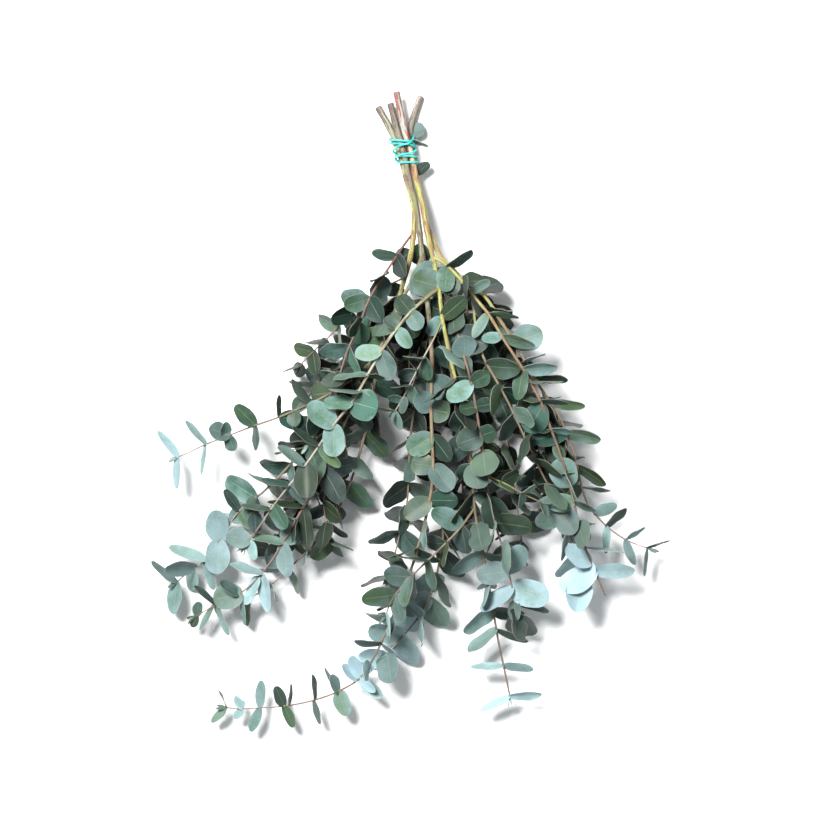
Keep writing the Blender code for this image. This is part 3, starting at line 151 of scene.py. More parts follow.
# Each shoot in millimetres: its name and branch; its radius, the spacing of its pairs of leaves, and
# their length and width, each at the first pair and at the tip; how far along the first pair is, how
# much of the end is bare, and the roll in degrees; and the route of its stem.
SHOOT_TABLE = (
    ("over_left", "centre", (2.2, 0.9), (25, 24), (29, 26), (27, 15), 36, 0, 24, (
        FORK_OVER, (17, 111, 66), (1, 96, 75), (-14, 78, 81), (-27, 59, 84), (-40, 36, 86), (-55, 10, 84),
        (-73, -13, 80), (-89, -35, 75), (-103, -55, 70), (-120, -76, 64), (-137, -98, 57),
        (-150, -117, 50), (-163, -135, 44),
    )),
    ("yellow_right", "centre", (2.2, 1.1), (24, 27), (26, 34), (19, 26), 18, 26, -14, (
        FORK_YELLOW, (34, 145, 52), (49, 130, 60), (62, 113, 66), (78, 93, 72), (93, 68, 76),
        (111, 40, 77), (128, 9, 75), (139, -19, 71), (150, -49, 67), (158, -76, 62), (165, -104, 57),
        (173, -134, 51), (182, -157, 46), (194, -184, 40),
    )),
    ("centre_main", "centre", (3.4, 1.1), (30, 31), (33, 32), (31, 15), 184, 0, 8, (
        (-13.4, 318, 19), (-6, 283, 16), (1.2, 258, 15.5), (6.2, 231, 24), (13, 204, 32.5),
        (17.2, 177, 42), FORK_YELLOW, (26, 136, 51), FORK_OVER, FORK_PALE, FORK_MIDDLE, (46, 26, 65),
        (53, -4, 62), (58, -34, 58), FORK_CROSS, FORK_BACK, (70, -129, 47), (76, -161, 43),
        (82, -194, 38), (88, -229, 32), (94, -257, 28), (100, -286, 25),
    )),
    ("rosy", "right", (2, 0.9), (26, 25), (27, 36), (26, 27), 42, 16, 78, (
        FORK_ROSY, (41, 116, 47), (44, 91, 51), (49, 69, 62), (54, 51, 70), (60, 28, 73), (65, 3, 72),
        (69, -21, 69), (73, -47, 64), (76, -66, 59), (79, -89, 58), (85, -114, 57), (92, -137, 55),
        (98, -161, 52), (103, -184, 48), (107, -219, 41),
    )),
    ("pale_thin", "centre", (1.3, 0.7), (20, 20), (22, 18), (14, 10), 44, 0, 30, (
        FORK_PALE, (25, 73, 67), (14, 52, 69), (3, 31, 67), (-6, 13, 63), (-15, -2, 58),
    )),
    ("inner_main", "inner_left", (3.4, 0.7), (31, 22), (31, 20), (28, 10), 285, 0, 18, (
        (-19.5, 307, 10.5), (-13.3, 283, 12.5), (-6, 258, 15.2), (-1, 231, 24.5), (6, 204, 33.5),
        (9.7, 177, 42.5), FORK_LONG_LEFT, (16, 126, 46), (19, 91, 47), FORK_UNDER, (21, 11, 55),
        (22, -29, 59), FORK_BENEATH, (18, -97, 57), (10, -129, 52), (1, -159, 47), (-9, -187, 42),
        (-21, -214, 38), (-33, -241, 34), (-49, -266, 31), (-71, -280, 28), (-95, -289, 26),
        (-123, -295, 24), (-149, -297, 23), (-168, -298, 22), (-184, -297, 21),
    )),
    ("far_left", "outer_left", (1.8, 0.7), (26, 28), (30, 31), (25, 10), 26, 0, 12, (
        FORK_FAR_LEFT, (-59, 29, 49), (-81, 15, 54), (-106, 3, 56), (-129, -7, 54), (-155, -16, 50),
        (-181, -26, 46), (-202, -34, 42), (-219, -42, 38), (-231, -47, 35),
    )),
    ("red", "outer_left", (1.6, 0.9), (27, 28), (22, 31), (18, 22), 32, 0, -20, (
        FORK_RED, (-6, 163, 43), (-15, 149, 49), (-27, 131, 55), (-40, 109, 60), (-51, 81, 63),
        (-61, 59, 65), (-69, 35, 65), (-80, 10, 64), (-91, -15, 59), (-101, -35, 53),
    )),
    ("long_left", "inner_left", (2.6, 0.7), (27, 23), (32, 22), (29, 12), 62, 0, 40, (
        FORK_LONG_LEFT, (9, 143, 48), (2, 127, 53), (-9, 107, 56), (-19, 83, 58), FORK_DEEP_LEFT,
        (-49, 19, 60), (-66, -17, 58), (-80, -50, 55), (-93, -77, 51), (-108, -101, 47), (-126, -132, 43),
        (-145, -160, 38), (-168, -182, 33), (-191, -193, 28), (-214, -206, 24),
    )),
    ("outer_main", "outer_left", (3.4, 0.8), (26, 23), (32, 31), (29, 19), 232, 0, 60, (
        (-32, 304, 3.6), (-20.5, 283, 6), (-10, 258, 8.5), (-3.3, 231, 17.8), (3.6, 204, 26.8), FORK_RED,
        (0.5, 151, 42.5), FORK_THIN, (-15, 96, 46), (-23, 73, 45), FORK_FAR_LEFT, FORK_LOW_LEFT,
        (-89, -19, 37), (-116, -51, 34), (-143, -79, 32), (-169, -100, 31), (-186, -124, 30),
        (-203, -149, 29), (-221, -162, 27), (-232.5, -172, 25),
    )),
    ("back_left", "centre", (1.6, 0.8), (24, 24), (28, 31), (18, 22), 22, 0, 35, (
        FORK_BACK, (51, -115, 56), (35, -132, 60), (17, -149, 61), (-1, -167, 59), (-17, -186, 56),
        (-24, -204, 51),
    )),
    ("cross_right", "centre", (1.3, 0.7), (22, 22), (20, 16), (14, 10), 36, 0, 50, (
        FORK_CROSS, (70, -63, 62), (79, -66, 69), (95, -73, 72), (113, -83, 73), (130, -91, 72),
    )),
    ("brown_right", "right", (1.9, 0.9), (28, 26), (28, 33), (21, 27), 30, 0, -35, (
        FORK_BROWN, (63, 101, 55), (66, 76, 61), (73, 51, 67), (84, 31, 70), (96, 9, 71), (107, -14, 70),
        (119, -39, 67), (131, -64, 63), (142, -84, 59), (151, -107, 53), (161, -129, 47), (167, -149, 42),
        (169, -168, 38),
    )),
    ("right_main", "right", (3.4, 0.7), (31, 24), (31, 26), (24, 9), 222, 0, 100, (
        (10.8, 315, 3.6), (1, 283, 6), (0.6, 258, 8), (5.6, 231, 16.5), (12.8, 204, 25),
        (19.5, 177, 33.5), (31, 152, 40), FORK_ROSY, FORK_BROWN, (75, 111, 54), (89, 89, 58),
        (103, 66, 60), (119, 39, 61), (134, 14, 60), (146, -4, 58), (156, -26, 55), (164, -49, 51),
        (170, -74, 47), (177, -94, 42), (194, -114, 37), (215, -129, 31), (239, -138.5, 26),
    )),
    ("thin_left", "outer_left", (1.3, 0.7), (23, 20), (27, 20), (23, 13), 24, 0, 70, (
        FORK_THIN, (-18, 125, 44), (-31, 116, 42), (-43, 107, 40), (-59, 95, 38), (-71, 83, 36),
        (-81, 72, 34), (-95, 59, 32), (-109, 45, 30),
    )),
    ("deep_left", "inner_left", (2.1, 0.8), (27, 26), (31, 26), (26, 14), 30, 0, 15, (
        FORK_DEEP_LEFT, (-35, 26, 50), (-41, -9, 40), (-50, -44, 33), (-61, -77, 29), (-77, -109, 26),
        (-96, -134, 24), (-113, -151, 23), (-138, -174, 22), (-161, -189, 22),
    )),
    ("under_centre", "inner_left", (1.9, 0.8), (27, 25), (31, 29), (26, 20), 34, 0, 20, (
        FORK_UNDER, (13, 26, 42), (4, -4, 36), (0, -39, 32), (-1, -69, 30), (-3, -94, 28), (-9, -119, 27),
        (-15, -144, 26), (-22, -166, 25),
    )),
    ("beneath_centre", "inner_left", (1.8, 0.9), (27, 26), (35, 34), (31, 24), 34, 0, 30, (
        FORK_BENEATH, (29, -94, 48), (33, -124, 36), (29, -154, 29), (22, -181, 26), (9, -206, 24),
        (-7, -226, 23), (-23, -244, 22),
    )),
    ("low_right", "right", (2, 0.9), (28, 26), (32, 30), (27, 21), 40, 0, 10, (
        FORK_BROWN, (69, 92, 44), (78, 52, 37), (88, 12, 32), (96, -28, 29), (102, -68, 27),
        (108, -103, 25), (112, -133, 24),
    )),
    ("low_middle", "centre", (1.8, 0.9), (28, 26), (32, 30), (27, 22), 34, 0, 55, (
        FORK_MIDDLE, (42, 30, 50), (46, -4, 38), (51, -44, 25), (53, -84, 11), (50, -112, 3.2),
    )),
    ("low_left", "outer_left", (1.7, 0.9), (27, 25), (31, 27), (25, 17), 30, 0, 35, (
        FORK_LOW_LEFT, (-76, -19, 31), (-89, -54, 26), (-104, -84, 24), (-124, -108, 23),
    )),
)

# Leaves whose places are known, by shoot: X and Y of the root in mm, direction seen from above,
# rise, length and width in mm, and turn about the leaf's own length. Angles are in degrees.
SET_LEAVES = {
    "right_main": (
        (2.5, 279, -4, 32, 17, 19.5, 5), (1.5, 270, -15, 5, 20, 9, 72), (4, 241.5, 28, -8, 20, 13, 10),
        (102, 66, 22, 5, 30, 27, 5), (126.3, 32, 3, 8, 32, 15, 58), (143, 10, -5, 5, 35, 14, 45),
        (158, -21.4, -9, 5, 35, 16, 35), (156, -20, 200, 12, 37, 26, 25),
        (164, -55.6, -30, 0, 34, 14, 40), (173, -112.6, 20, 0, 24, 14, 30),
        (193.5, -119.4, 49, 10, 27, 14, 50), (193.5, -119.4, -88, -8, 27, 12, 55),
        (215, -128, 34, 8, 23, 11, 62), (215, -128, -71, -6, 27, 13, 50),
        (235.5, -138, 23, 3, 25, 9, 74), (236.5, -138, -91, -5, 28, 9, 72),
    ),
    "yellow_right": (
        (60, 116.2, 32, 15, 23, 11, 30), (60, 116.2, 230, -10, 17, 10, 30),
        (79, 95.8, -6, 5, 31, 12, 68), (79, 95.8, 241, 0, 28, 13, 35), (87.7, 72, -16, 5, 34, 15, 45),
        (87.7, 72, 190, 0, 20, 15, 40), (110.6, 41, 6, 6, 34, 16, 40), (110.6, 41, 260, 5, 31, 17, 30),
        (127.8, 9.3, 180, 5, 18, 12, 66), (127.8, 9.3, -4, 5, 28, 12, 66),
        (129, 5, 245, -10, 31, 27, 5), (139, -19, -2, 5, 22, 12, 62), (139, -19, 186, 0, 16, 12, 60),
        (150.4, -49.4, -80, -10, 31, 29, 5), (150.4, -49.4, 100, 5, 20, 16, 60),
        (161, -91, -20, -5, 24, 12, 60), (161, -91, 200, 5, 30, 22, 20),
        (178, -151, 150, 22, 34, 22, 20), (178, -151, -107, -25, 32, 22, 10),
        (181.6, -158.7, 0, 4, 40, 17, 25), (181.6, -158.7, -152, 4, 39, 26, 15),
    ),
    "over_left": (
        (1, 96, -60, 15, 21, 18, 10), (1, 96, 130, 0, 20, 20, 10), (-11, 77, -51, 12, 24, 15, 20),
        (-11, 77, 140, 0, 16, 14, 30), (-30.3, 58.1, 189, 5, 26, 18, 20),
        (-30.3, 58.1, -70, 5, 30, 20, 10), (-41, 35, 186, 4, 34, 14, 66), (-41, 35, 6, 4, 20, 13, 66),
        (-58, 9, -15, 10, 27, 32, 5), (-58, 9, 183, 5, 28, 20, 42), (-74.3, -15, 141, 14, 34, 24, 15),
        (-74.3, -15, -85, 2, 32, 24, 5), (-87.3, -35, 150, 5, 32, 13, 60),
        (-87.3, -35, -45, 8, 30, 15, 40), (-100, -56, 145, 5, 33, 15, 50),
        (-98, -55, -88, 5, 34, 24, 8), (-118.5, -74.5, 172, 5, 28, 13, 60),
        (-118.5, -74.5, -50, 0, 25, 12, 60), (-138, -97, 172, 0, 30, 13, 66),
        (-136, -94, -60, 5, 26, 18, 30), (-154, -119, 95, 0, 20, 17, 30),
        (-159, -129, 168, 5, 24, 20, 10), (-159, -129, -75, 0, 20, 12, 30),
    ),
    "long_left": (
        (-104.7, -97.4, 173, 5, 36, 14, 66), (-104.7, -97.4, -82, 2, 42, 17, 25),
        (-85, -59, 20, 0, 32, 26, 15), (-85, -59, -60, 0, 36, 24, 20),
        (-126.1, -132.1, 173, 4, 33, 14, 62), (-126.1, -132.1, -80, 0, 34, 19, 25),
        (-126, -130, 40, 0, 28, 24, 15), (-149.6, -160.9, 165, 4, 33, 15, 58),
        (-149.6, -160.9, -76, 0, 39, 16, 40), (-152, -163, -112, -5, 30, 16, 45),
        (-166.6, -183, -165, 2, 28, 27, 10), (-169, -184, 150, 25, 26, 13, 50),
        (-173, -187, 100, 0, 16, 11, 50), (-168, -183, -80, -5, 34, 10, 60),
        (-192.7, -192.7, 139, 4, 29, 12, 64), (-192.7, -192.7, -64, -4, 33, 12, 55),
        (-196, -195, -115, -5, 28, 12, 62), (-212, -205, 85, 15, 15, 11, 20),
        (-212, -205, -112, -10, 13, 9, 20), (-208, -203, -42, -5, 22, 8, 50),
    ),
    "outer_main": (
        (-232.2, -172, 145, 3, 33, 13, 58), (-232.2, -172, -97, -8, 33, 20, 40),
        (-202.6, -149.9, 163, 4, 39, 14, 35), (-202.6, -149.9, -73, -4, 31, 13, 40),
        (-191.9, -128.7, 91, 10, 35, 24, 10), (-191.9, -128.7, -90, 4, 35, 26, 8),
        (-176, -109, 45, 0, 24, 22, 15), (-176, -109, 180, 0, 22, 18, 30),
        (-168, -100, 130, 4, 26, 13, 40), (-168, -100, -50, 0, 22, 14, 30),
    ),
    "far_left": (
        (-230, -46.5, 128, 5, 33, 12, 48), (-230, -46.5, -91, -4, 32, 12, 48),
        (-201.2, -34.3, 135, 5, 31, 12, 58), (-201.2, -34.3, -96, -4, 31, 12, 66),
        (-176.8, -28, 160, 18, 22, 19, 20), (-176.8, -28, -72, -10, 16, 14, 20),
        (-181, -29, 95, 25, 18, 14, 20), (-152, -14.7, 135, 5, 28, 18, 32),
        (-152, -14.7, -88, -4, 25, 14, 60), (-128.5, -9.5, 90, 5, 22, 12, 68),
        (-126, -9, -18, -18, 24, 20, 10), (-113, -4, 60, 10, 18, 16, 10),
        (-113, -4, -100, -10, 18, 16, 20),
    ),
    "inner_main": (
        (19.4, 0.3, 136, 22, 23, 22, 10), (19.4, 0.3, -12, 5, 19, 24, 10),
        (20.9, -26.8, -48, 8, 31, 20, 15), (20.9, -26.8, 214, -12, 29, 24, 10),
        (20.5, -56.3, -50, 4, 31, 24, 10), (20.5, -56.3, 172, 0, 22, 22, 10),
        (19, -89, 215, 0, 30, 22, 10), (19, -89, 0, 5, 28, 22, 20),
        (-49.6, -264.8, 114, 18, 26, 14, 10), (-49.6, -264.8, -43, -4, 29, 13, 15),
        (-54, -267, 128, 35, 25, 12, 30), (-51, -266, -25, 8, 24, 12, 40),
        (-70, -279.7, 115, 30, 21, 15, 50), (-70, -279.7, -72, -6, 26, 17, 12),
        (-70, -279.7, 125, 0, 27, 12, 74), (-96, -288.8, 96, 4, 26, 13, 70),
        (-96, -288.8, -76, -4, 25, 13, 60), (-124.8, -295.8, 115, 6, 22, 13, 32),
        (-124.8, -295.8, -64, -4, 23, 12, 28), (-121, -295, 86, 4, 22, 11, 74),
        (-148.3, -298, 90, 4, 28, 11, 22), (-148.3, -298, -112, -4, 26, 11, 18),
        (-166.6, -297.4, 123, 6, 15, 9, 30), (-166.6, -297.4, -130, -4, 13, 9, 20),
        (-171, -297.5, 40, 10, 10, 7, 20),
    ),
    "low_middle": (
        (50.5, -111, -98, -35, 33, 27, 0), (50.5, -111, 60, 10, 26, 20, 30),
    ),
    "centre_main": (
        (27.8, 121.4, 165, 12, 28, 30, 5), (27.8, 121.4, 14, 6, 25, 23, 10),
        (32.9, 90.6, 45, 8, 34, 20, 30), (32.9, 90.6, 225, 5, 24, 18, 20),
        (87.7, -217.4, 221, 4, 36, 16, 48), (87.7, -217.4, -17, 4, 34, 14, 58),
        (96.2, -254.3, 185, 4, 33, 12, 58), (96.2, -254.3, -5, 4, 30, 13, 42),
        (100, -286.3, 3, 4, 32, 12, 38), (100, -286.3, 206, 2, 33, 12, 52),
    ),
    "rosy": (
        (54, 53, 92, 25, 23, 24, 8), (54, 53, -88, -10, 22, 20, 20), (61.5, 26.8, 216, 18, 30, 20, 15),
        (61.5, 26.8, 30, 0, 20, 18, 20), (66, 3.3, 12, 25, 20, 15, 15), (66, 3.3, 190, 20, 18, 15, 15),
        (71, -26, 200, 15, 26, 24, 10), (71, -26, 20, 15, 16, 20, 20),
        (99.6, -175.8, -18, 4, 38, 29, 10), (99.6, -175.8, 218, 5, 39, 19, 38),
        (100, -190, -92, -10, 23, 15, 5), (100, -190, -9, 0, 39, 12, 62), (96, -159, 60, 5, 30, 26, 15),
        (96, -159, 190, 0, 32, 24, 20),
    ),
}


def between(ends, share):
    """The value at this share of the way from the first of two to the second."""
    return ends[0] + (ends[1] - ends[0]) * share


def metres(millimetres):
    """The same sizes in metres, to the micrometre."""
    return tuple(round(value / 1000, 6) for value in millimetres)


@dataclass
class Shoot:
    """One stem and its leaves. Pairs of values are at the first pair of leaves and at the tip."""

    name: str
    branch: str
    radius: tuple
    spacing: tuple
    leaf_length: tuple
    leaf_width: tuple
    first_pair: float
    bare_end: float
    roll: float
    route: list

    def __post_init__(self):
        self.is_main = self.name.endswith("_main")
        self.fine, self.along = smooth_route(self.route)
        self.length = self.along[-1]
        self.pairs = pair_places(self)


def curve_point(before, start, end, after, t):
    """A point on the Catmull-Rom curve through four others, at share t of the way from start to end."""
    bend = (2 * before - 5 * start + 4 * end - after) * t**2
    turn = (3 * start - before - 3 * end + after) * t**3
    return 0.5 * (2 * start + (end - before) * t + bend + turn)


def smooth_route(points):
    """Close points on the smooth curve through these, and each one's distance along it."""
    p = np.array(points, float)
    p = np.vstack([2 * p[0] - p[1], p, 2 * p[-1] - p[-2]])
    shares = np.linspace(0, 1, CURVE_STEPS, endpoint=False)
    fine = [curve_point(*p[i - 1:i + 3], t) for i in range(1, len(p) - 2) for t in shares]
    fine = np.array(fine + [p[-2]])
    steps = np.linalg.norm(np.diff(fine, axis=0), axis=1)
    return fine, np.concatenate([[0], np.cumsum(steps)])


def point_on(shoot, distance):
    return Vector([np.interp(distance, shoot.along, shoot.fine[:, k]) for k in range(3)])


def with_normals(spot, tangent):
    """A place, the way ahead there, and a level and an upright normal."""
    level = tangent.cross(Vector((0, 0, 1))).normalized()
    return spot, tangent, level, level.cross(tangent)


def place_on(shoot, distance):
    """The place at this distance along the shoot, as with_normals gives it."""
    ahead = point_on(shoot, min(distance + SLOPE_STEP, shoot.length))
    behind = point_on(shoot, max(distance - SLOPE_STEP, 0))
    return with_normals(point_on(shoot, distance), (ahead - behind).normalized())


def place_on_chord(shoot, distance):
    """The same for the straight run of stem between two rings, which is where leaves are rooted."""
    rings = ring_places(shoot)
    n = max(i for i in range(len(rings) - 1) if rings[i] <= distance)
    start, end = point_on(shoot, rings[n]), point_on(shoot, rings[n + 1])
    spot = start.lerp(end, float((distance - rings[n]) / (rings[n + 1] - rings[n])))
    return with_normals(spot, (end - start).normalized())


def radius_at(shoot, distance):
    start, end = shoot.radius
    return float(start + (end - start) * distance / shoot.length)


def nearest(shoot, leaf):
    """Distance along the shoot of the point nearest to a set leaf's root, as seen from above."""
    apart = np.linalg.norm(shoot.fine[:, :2] - np.array(leaf[:2]) / 1000, axis=1)
    return float(shoot.along[int(np.argmin(apart))])


def set_places(shoot):
    """The shoot's set leaves, each with its root's place along the shoot."""
    last = float(shoot.length - TIP_REST)
    return [(leaf, min(nearest(shoot, leaf), last)) for leaf in SET_LEAVES.get(shoot.name, ())]


def pair_places(shoot):
    """Distances along the shoot of its pairs of leaves. The last is at the tip, or where it is bare."""
    first, last = shoot.first_pair, shoot.length - shoot.bare_end - TIP_REST
    places = [first]
    while places[-1] < last:
        share = (places[-1] - first) / (last - first)
        places.append(places[-1] + between(shoot.spacing, share))
    ruled = [first + (place - first) * (last - first) / (places[-1] - first) for place in places]
    nodes = []
    for place in sorted(place for _, place in set_places(shoot)):
        if not nodes or place - nodes[-1] > SAME_NODE:
            nodes.append(place)
    room = RULED_ROOM * shoot.spacing[0]
    ruled = [place for place in ruled if all(abs(place - node) > room for node in nodes)]
    return sorted(ruled + nodes)


def ring_places(shoot):
    """Where a stem's rings go: halfway between pairs of leaves, so that no leaf grows on a ring."""
    pairs, half = shoot.pairs, RING_STEP / 2
    runs = [(0, pairs[0] - half)] + [(a + half, b - half) for a, b in zip(pairs, pairs[1:])]
    places = []
    for number, (start, end) in enumerate(runs):
        bare = end - start
        if number and bare < half:
            places.append((start + end) / 2)
        else:
            count = max(1, round(bare / RING_STEP))
            places += [start + bare * n / count for n in range(count + 1)]
    if shoot.length - pairs[-1] > half:
        places.append((pairs[-1] + shoot.length) / 2)
    return places + [shoot.length]


def tube(rings):
    """Points and faces of a round stem with flat ends. Its rings may go from eight sides to four once."""
    points, faces, starts = [], [], []
    for centre, radius, (level, upright, turn), count in rings:
        starts.append(len(points))
        for side in range(count):
            angle = turn + 2 * math.pi * (side + 0.5) / count
            points.append(centre + radius * (math.cos(angle) * level + math.sin(angle) * upright))
    faces.append(tuple(range(rings[0][3])))
    for ring in range(len(rings) - 1):
        a, b = starts[ring], starts[ring + 1]
        here, there = rings[ring][3], rings[ring + 1][3]
        for side in range(there):
            after = (side + 1) % there
            if here == there:
                faces.append((a + after, a + side, b + side, b + after))
            else:
                faces.append((a + 2 * side + 1, a + 2 * side, b + side))
                faces.append((a + (2 * side + 2) % here, a + 2 * side + 1, b + side, b + after))
    faces.append(tuple(starts[-1] + side for side in reversed(range(rings[-1][3]))))
    return points, faces


def stem_rings(shoot):
    """Centre, radius, frame and sides of every ring. Where leaves grow, the stem has four sides."""
    rings = []
    for distance in ring_places(shoot):
        spot, _, level, upright = place_on(shoot, distance)
        bare = shoot.is_main and distance <= shoot.first_pair - LEAFY_START
        frame_there = (level, upright, shoot.roll)
        rings.append((spot, radius_at(shoot, distance), frame_there, MAIN_SIDES if bare else LEAFY_SIDES))
    return rings


class Flow:
    """What comes out of a node. Sums and products of flows are made by further nodes."""

    def __init__(self, tree, socket):
        self.tree, self.socket = tree, socket

    def math(self, operation, *others):
        return add(self.tree, "ShaderNodeMath", enumerate((self, *others)), operation=operation)

    def vector_math(self, operation, other, out=0):
        return add(self.tree, "ShaderNodeVectorMath", {0: self, 1: other}, out, operation=operation)

    def __add__(self, other):
        return (self.vector_math if self.socket.type == "VECTOR" else self.math)("ADD", other)

    def __mul__(self, other):
        if self.socket.type == "VALUE":
            return self.math("MULTIPLY", other)
        return add(self.tree, "ShaderNodeVectorMath", {0: self, "Scale": other}, operation="SCALE")

    def __sub__(self, other):
        return self.math("SUBTRACT", other)

    def __rsub__(self, other):
        return add(self.tree, "ShaderNodeMath", {0: other, 1: self}, operation="SUBTRACT")

    def __pow__(self, other):
        return self.math("POWER", other)

    def kept_in(self, low, high):
        return self.math("MAXIMUM", low).math("MINIMUM", high)

    def parts(self):
        """The X, Y and Z of a vector, or the red, green and blue of a colour."""
        kind = "ShaderNodeSeparateXYZ" if self.socket.type == "VECTOR" else "ShaderNodeSeparateColor"
        split = add(self.tree, kind, {0: self}).socket.node
        return [Flow(self.tree, socket) for socket in split.outputs]


def add(tree, kind, inputs=(), out=0, **settings):
    """Adds a node to a tree and hands back what flows out of it. Its inputs take values or flows."""
    made = tree.nodes.new(kind)
    for name, value in settings.items():
        setattr(made, name, value)
    for name, value in dict(inputs).items():
        if isinstance(value, Flow):
            tree.links.new(value.socket, made.inputs[name])
        else:
            made.inputs[name].default_value = value
    return Flow(tree, made.outputs[out])


def stored(tree, names, kind="FLOAT"):
    """The named attributes of a shape, in a geometry tree."""
    source = "GeometryNodeInputNamedAttribute"
    return [add(tree, source, {"Name": name}, "Attribute", data_type=kind) for name in names.split()]


def marked(shape, name, value, kind="FLOAT"):
    """The shape with this value stored on its points by name."""
    inputs = {"Geometry": shape, "Name": name, "Value": value}
    return add(shape.tree, "GeometryNodeStoreNamedAttribute", inputs, data_type=kind)


def geometry_tree(name, inputs):
    """An empty geometry tree with these named inputs, as {name: kind}, and what flows in by them."""
    tree = bpy.data.node_groups.new(name, "GeometryNodeTree")
    tree.is_modifier = True
    for title, kind in {"Geometry": "Geometry", **inputs}.items():
        tree.interface.new_socket(title, in_out="INPUT", socket_type="NodeSocket" + kind)
    tree.interface.new_socket("Geometry", in_out="OUTPUT", socket_type="NodeSocketGeometry")
    sockets = tree.nodes.new("NodeGroupInput").outputs
    return tree, {socket.name: Flow(tree, socket) for socket in sockets if socket.name}


def finished(shape, material):
    """Ends a geometry tree with smooth shading and the material."""
    smooth = add(shape.tree, "GeometryNodeSetShadeSmooth", {"Geometry": shape, "Shade Smooth": True})
    done = add(shape.tree, "GeometryNodeSetMaterial", {"Geometry": smooth, "Material": material})
    shape.tree.links.new(done.socket, shape.tree.nodes.new("NodeGroupOutput").inputs["Geometry"])
    return shape.tree


def grown_by(thing, tree, values, finish=()):
    """Runs a geometry tree, and then the modifiers in finish, and keeps the result as a plain mesh."""
    modifier = thing.modifiers.new(tree.name, "NODES")
    modifier.node_group = tree
    for socket in tree.interface.items_tree:
        if socket.name in values:
            modifier[socket.identifier] = values[socket.name]
    for kind, settings in finish:
        extra = thing.modifiers.new(kind.lower(), kind)
        for name, value in settings.items():
            setattr(extra, name, value)
    bpy.context.view_layer.update()
    evaluated = thing.evaluated_get(bpy.context.evaluated_depsgraph_get())
    result = bpy.data.meshes.new_from_object(evaluated)
    thing.modifiers.clear()
    thing.data = result


def placed(name, data):
    """A new object in the scene."""
    thing = bpy.data.objects.new(name, data)
    bpy.context.scene.collection.objects.link(thing)
    return thing


def points_object(name, points, edges, carried):
    """An object of bare points, joined by these edges, that carry named numbers and vectors."""
    mesh = bpy.data.meshes.new(name)
    mesh.from_pydata([tuple(p) for p in points], edges, [])
    for title, values in carried.items():
        values = np.array(values, np.float32)
        kind, field = ("FLOAT_VECTOR", "vector") if values.ndim > 1 else ("FLOAT", "value")
        mesh.attributes.new(title, kind, "POINT").data.foreach_set(field, values.ravel())
    return placed(name, mesh)


def stand_for(piece, node):
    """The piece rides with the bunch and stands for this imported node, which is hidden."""
    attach(piece, "root")
    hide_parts(node)


def round_stem_tree():
    """Turns lines of points into round stems. The ring vector marks the place round them for the bark."""
    tree, given = geometry_tree("round_stems", {"Sides": "Int", "Bark": "Material"})
    lines = add(tree, "GeometryNodeMeshToCurve", {"Mesh": given["Geometry"]})
    circle = {"Resolution": given["Sides"], "Radius": 1.0}
    ring = add(tree, "GeometryNodeCurvePrimitiveCircle", circle)
    ring = marked(ring, "ring", add(tree, "GeometryNodeInputPosition"), "FLOAT_VECTOR")
    thickness, = stored(tree, "thickness")
    sweep = {"Curve": lines, "Profile Curve": ring, "Scale": thickness, "Fill Caps": True}
    return finished(add(tree, "GeometryNodeCurveToMesh", sweep), given["Bark"])


def new_material(name):
    """A material with nodes, its tree, and Object coordinates in it."""
    made = bpy.data.materials.new(name)
    made.use_nodes = True
    return made, made.node_tree, add(made.node_tree, "ShaderNodeTexCoord", out="Object")


def surfaced(made, colour, worn, roughness, height, bump, shine=0.5):
    """Puts these on the material's shader. Its roughness goes with worn, and its bump with height."""
    tree, shader = made.node_tree, made.node_tree.nodes["Principled BSDF"]
    limits = dict(zip(("To Min", "To Max"), roughness))
    flows = {"Base Color": colour, "Roughness": add(tree, "ShaderNodeMapRange", {"Value": worn, **limits})}
    relief = dict(zip(("Strength", "Distance"), bump))
    flows["Normal"] = add(tree, "ShaderNodeBump", {"Height": height, **relief})
    for title, flow in flows.items():
        tree.links.new(flow.socket, shader.inputs[title])
    shader.inputs["Specular IOR Level"].default_value = shine
    return made


def mixed(share, first, second):
    """A colour between two others."""
    tree = next(value.tree for value in (share, first, second) if isinstance(value, Flow))
    first, second = (value if isinstance(value, Flow) else (*value, 1) for value in (first, second))
    return add(tree, "ShaderNodeMix", {0: share, 6: first, 7: second}, 2, data_type="RGBA")


def on_surface(tree, names, kind="Fac"):
    """The named attributes of a surface, in a material's tree."""
    return [add(tree, "ShaderNodeAttribute", out=kind, attribute_name=name) for name in names.split()]


def eased_step(value, low, high):
    """0 below low, 1 above high, and a smooth rise between them."""
    limits = {"Value": value, "From Min": low, "From Max": high}
    return add(value.tree, "ShaderNodeMapRange", limits, interpolation_type="SMOOTHSTEP")


def noise(place, scale, detail=2.0, roughness=0.5):
    inputs = {"Vector": place, "Scale": scale, "Detail": detail, "Roughness": roughness}
    return add(place.tree, "ShaderNodeTexNoise", inputs, "Fac")


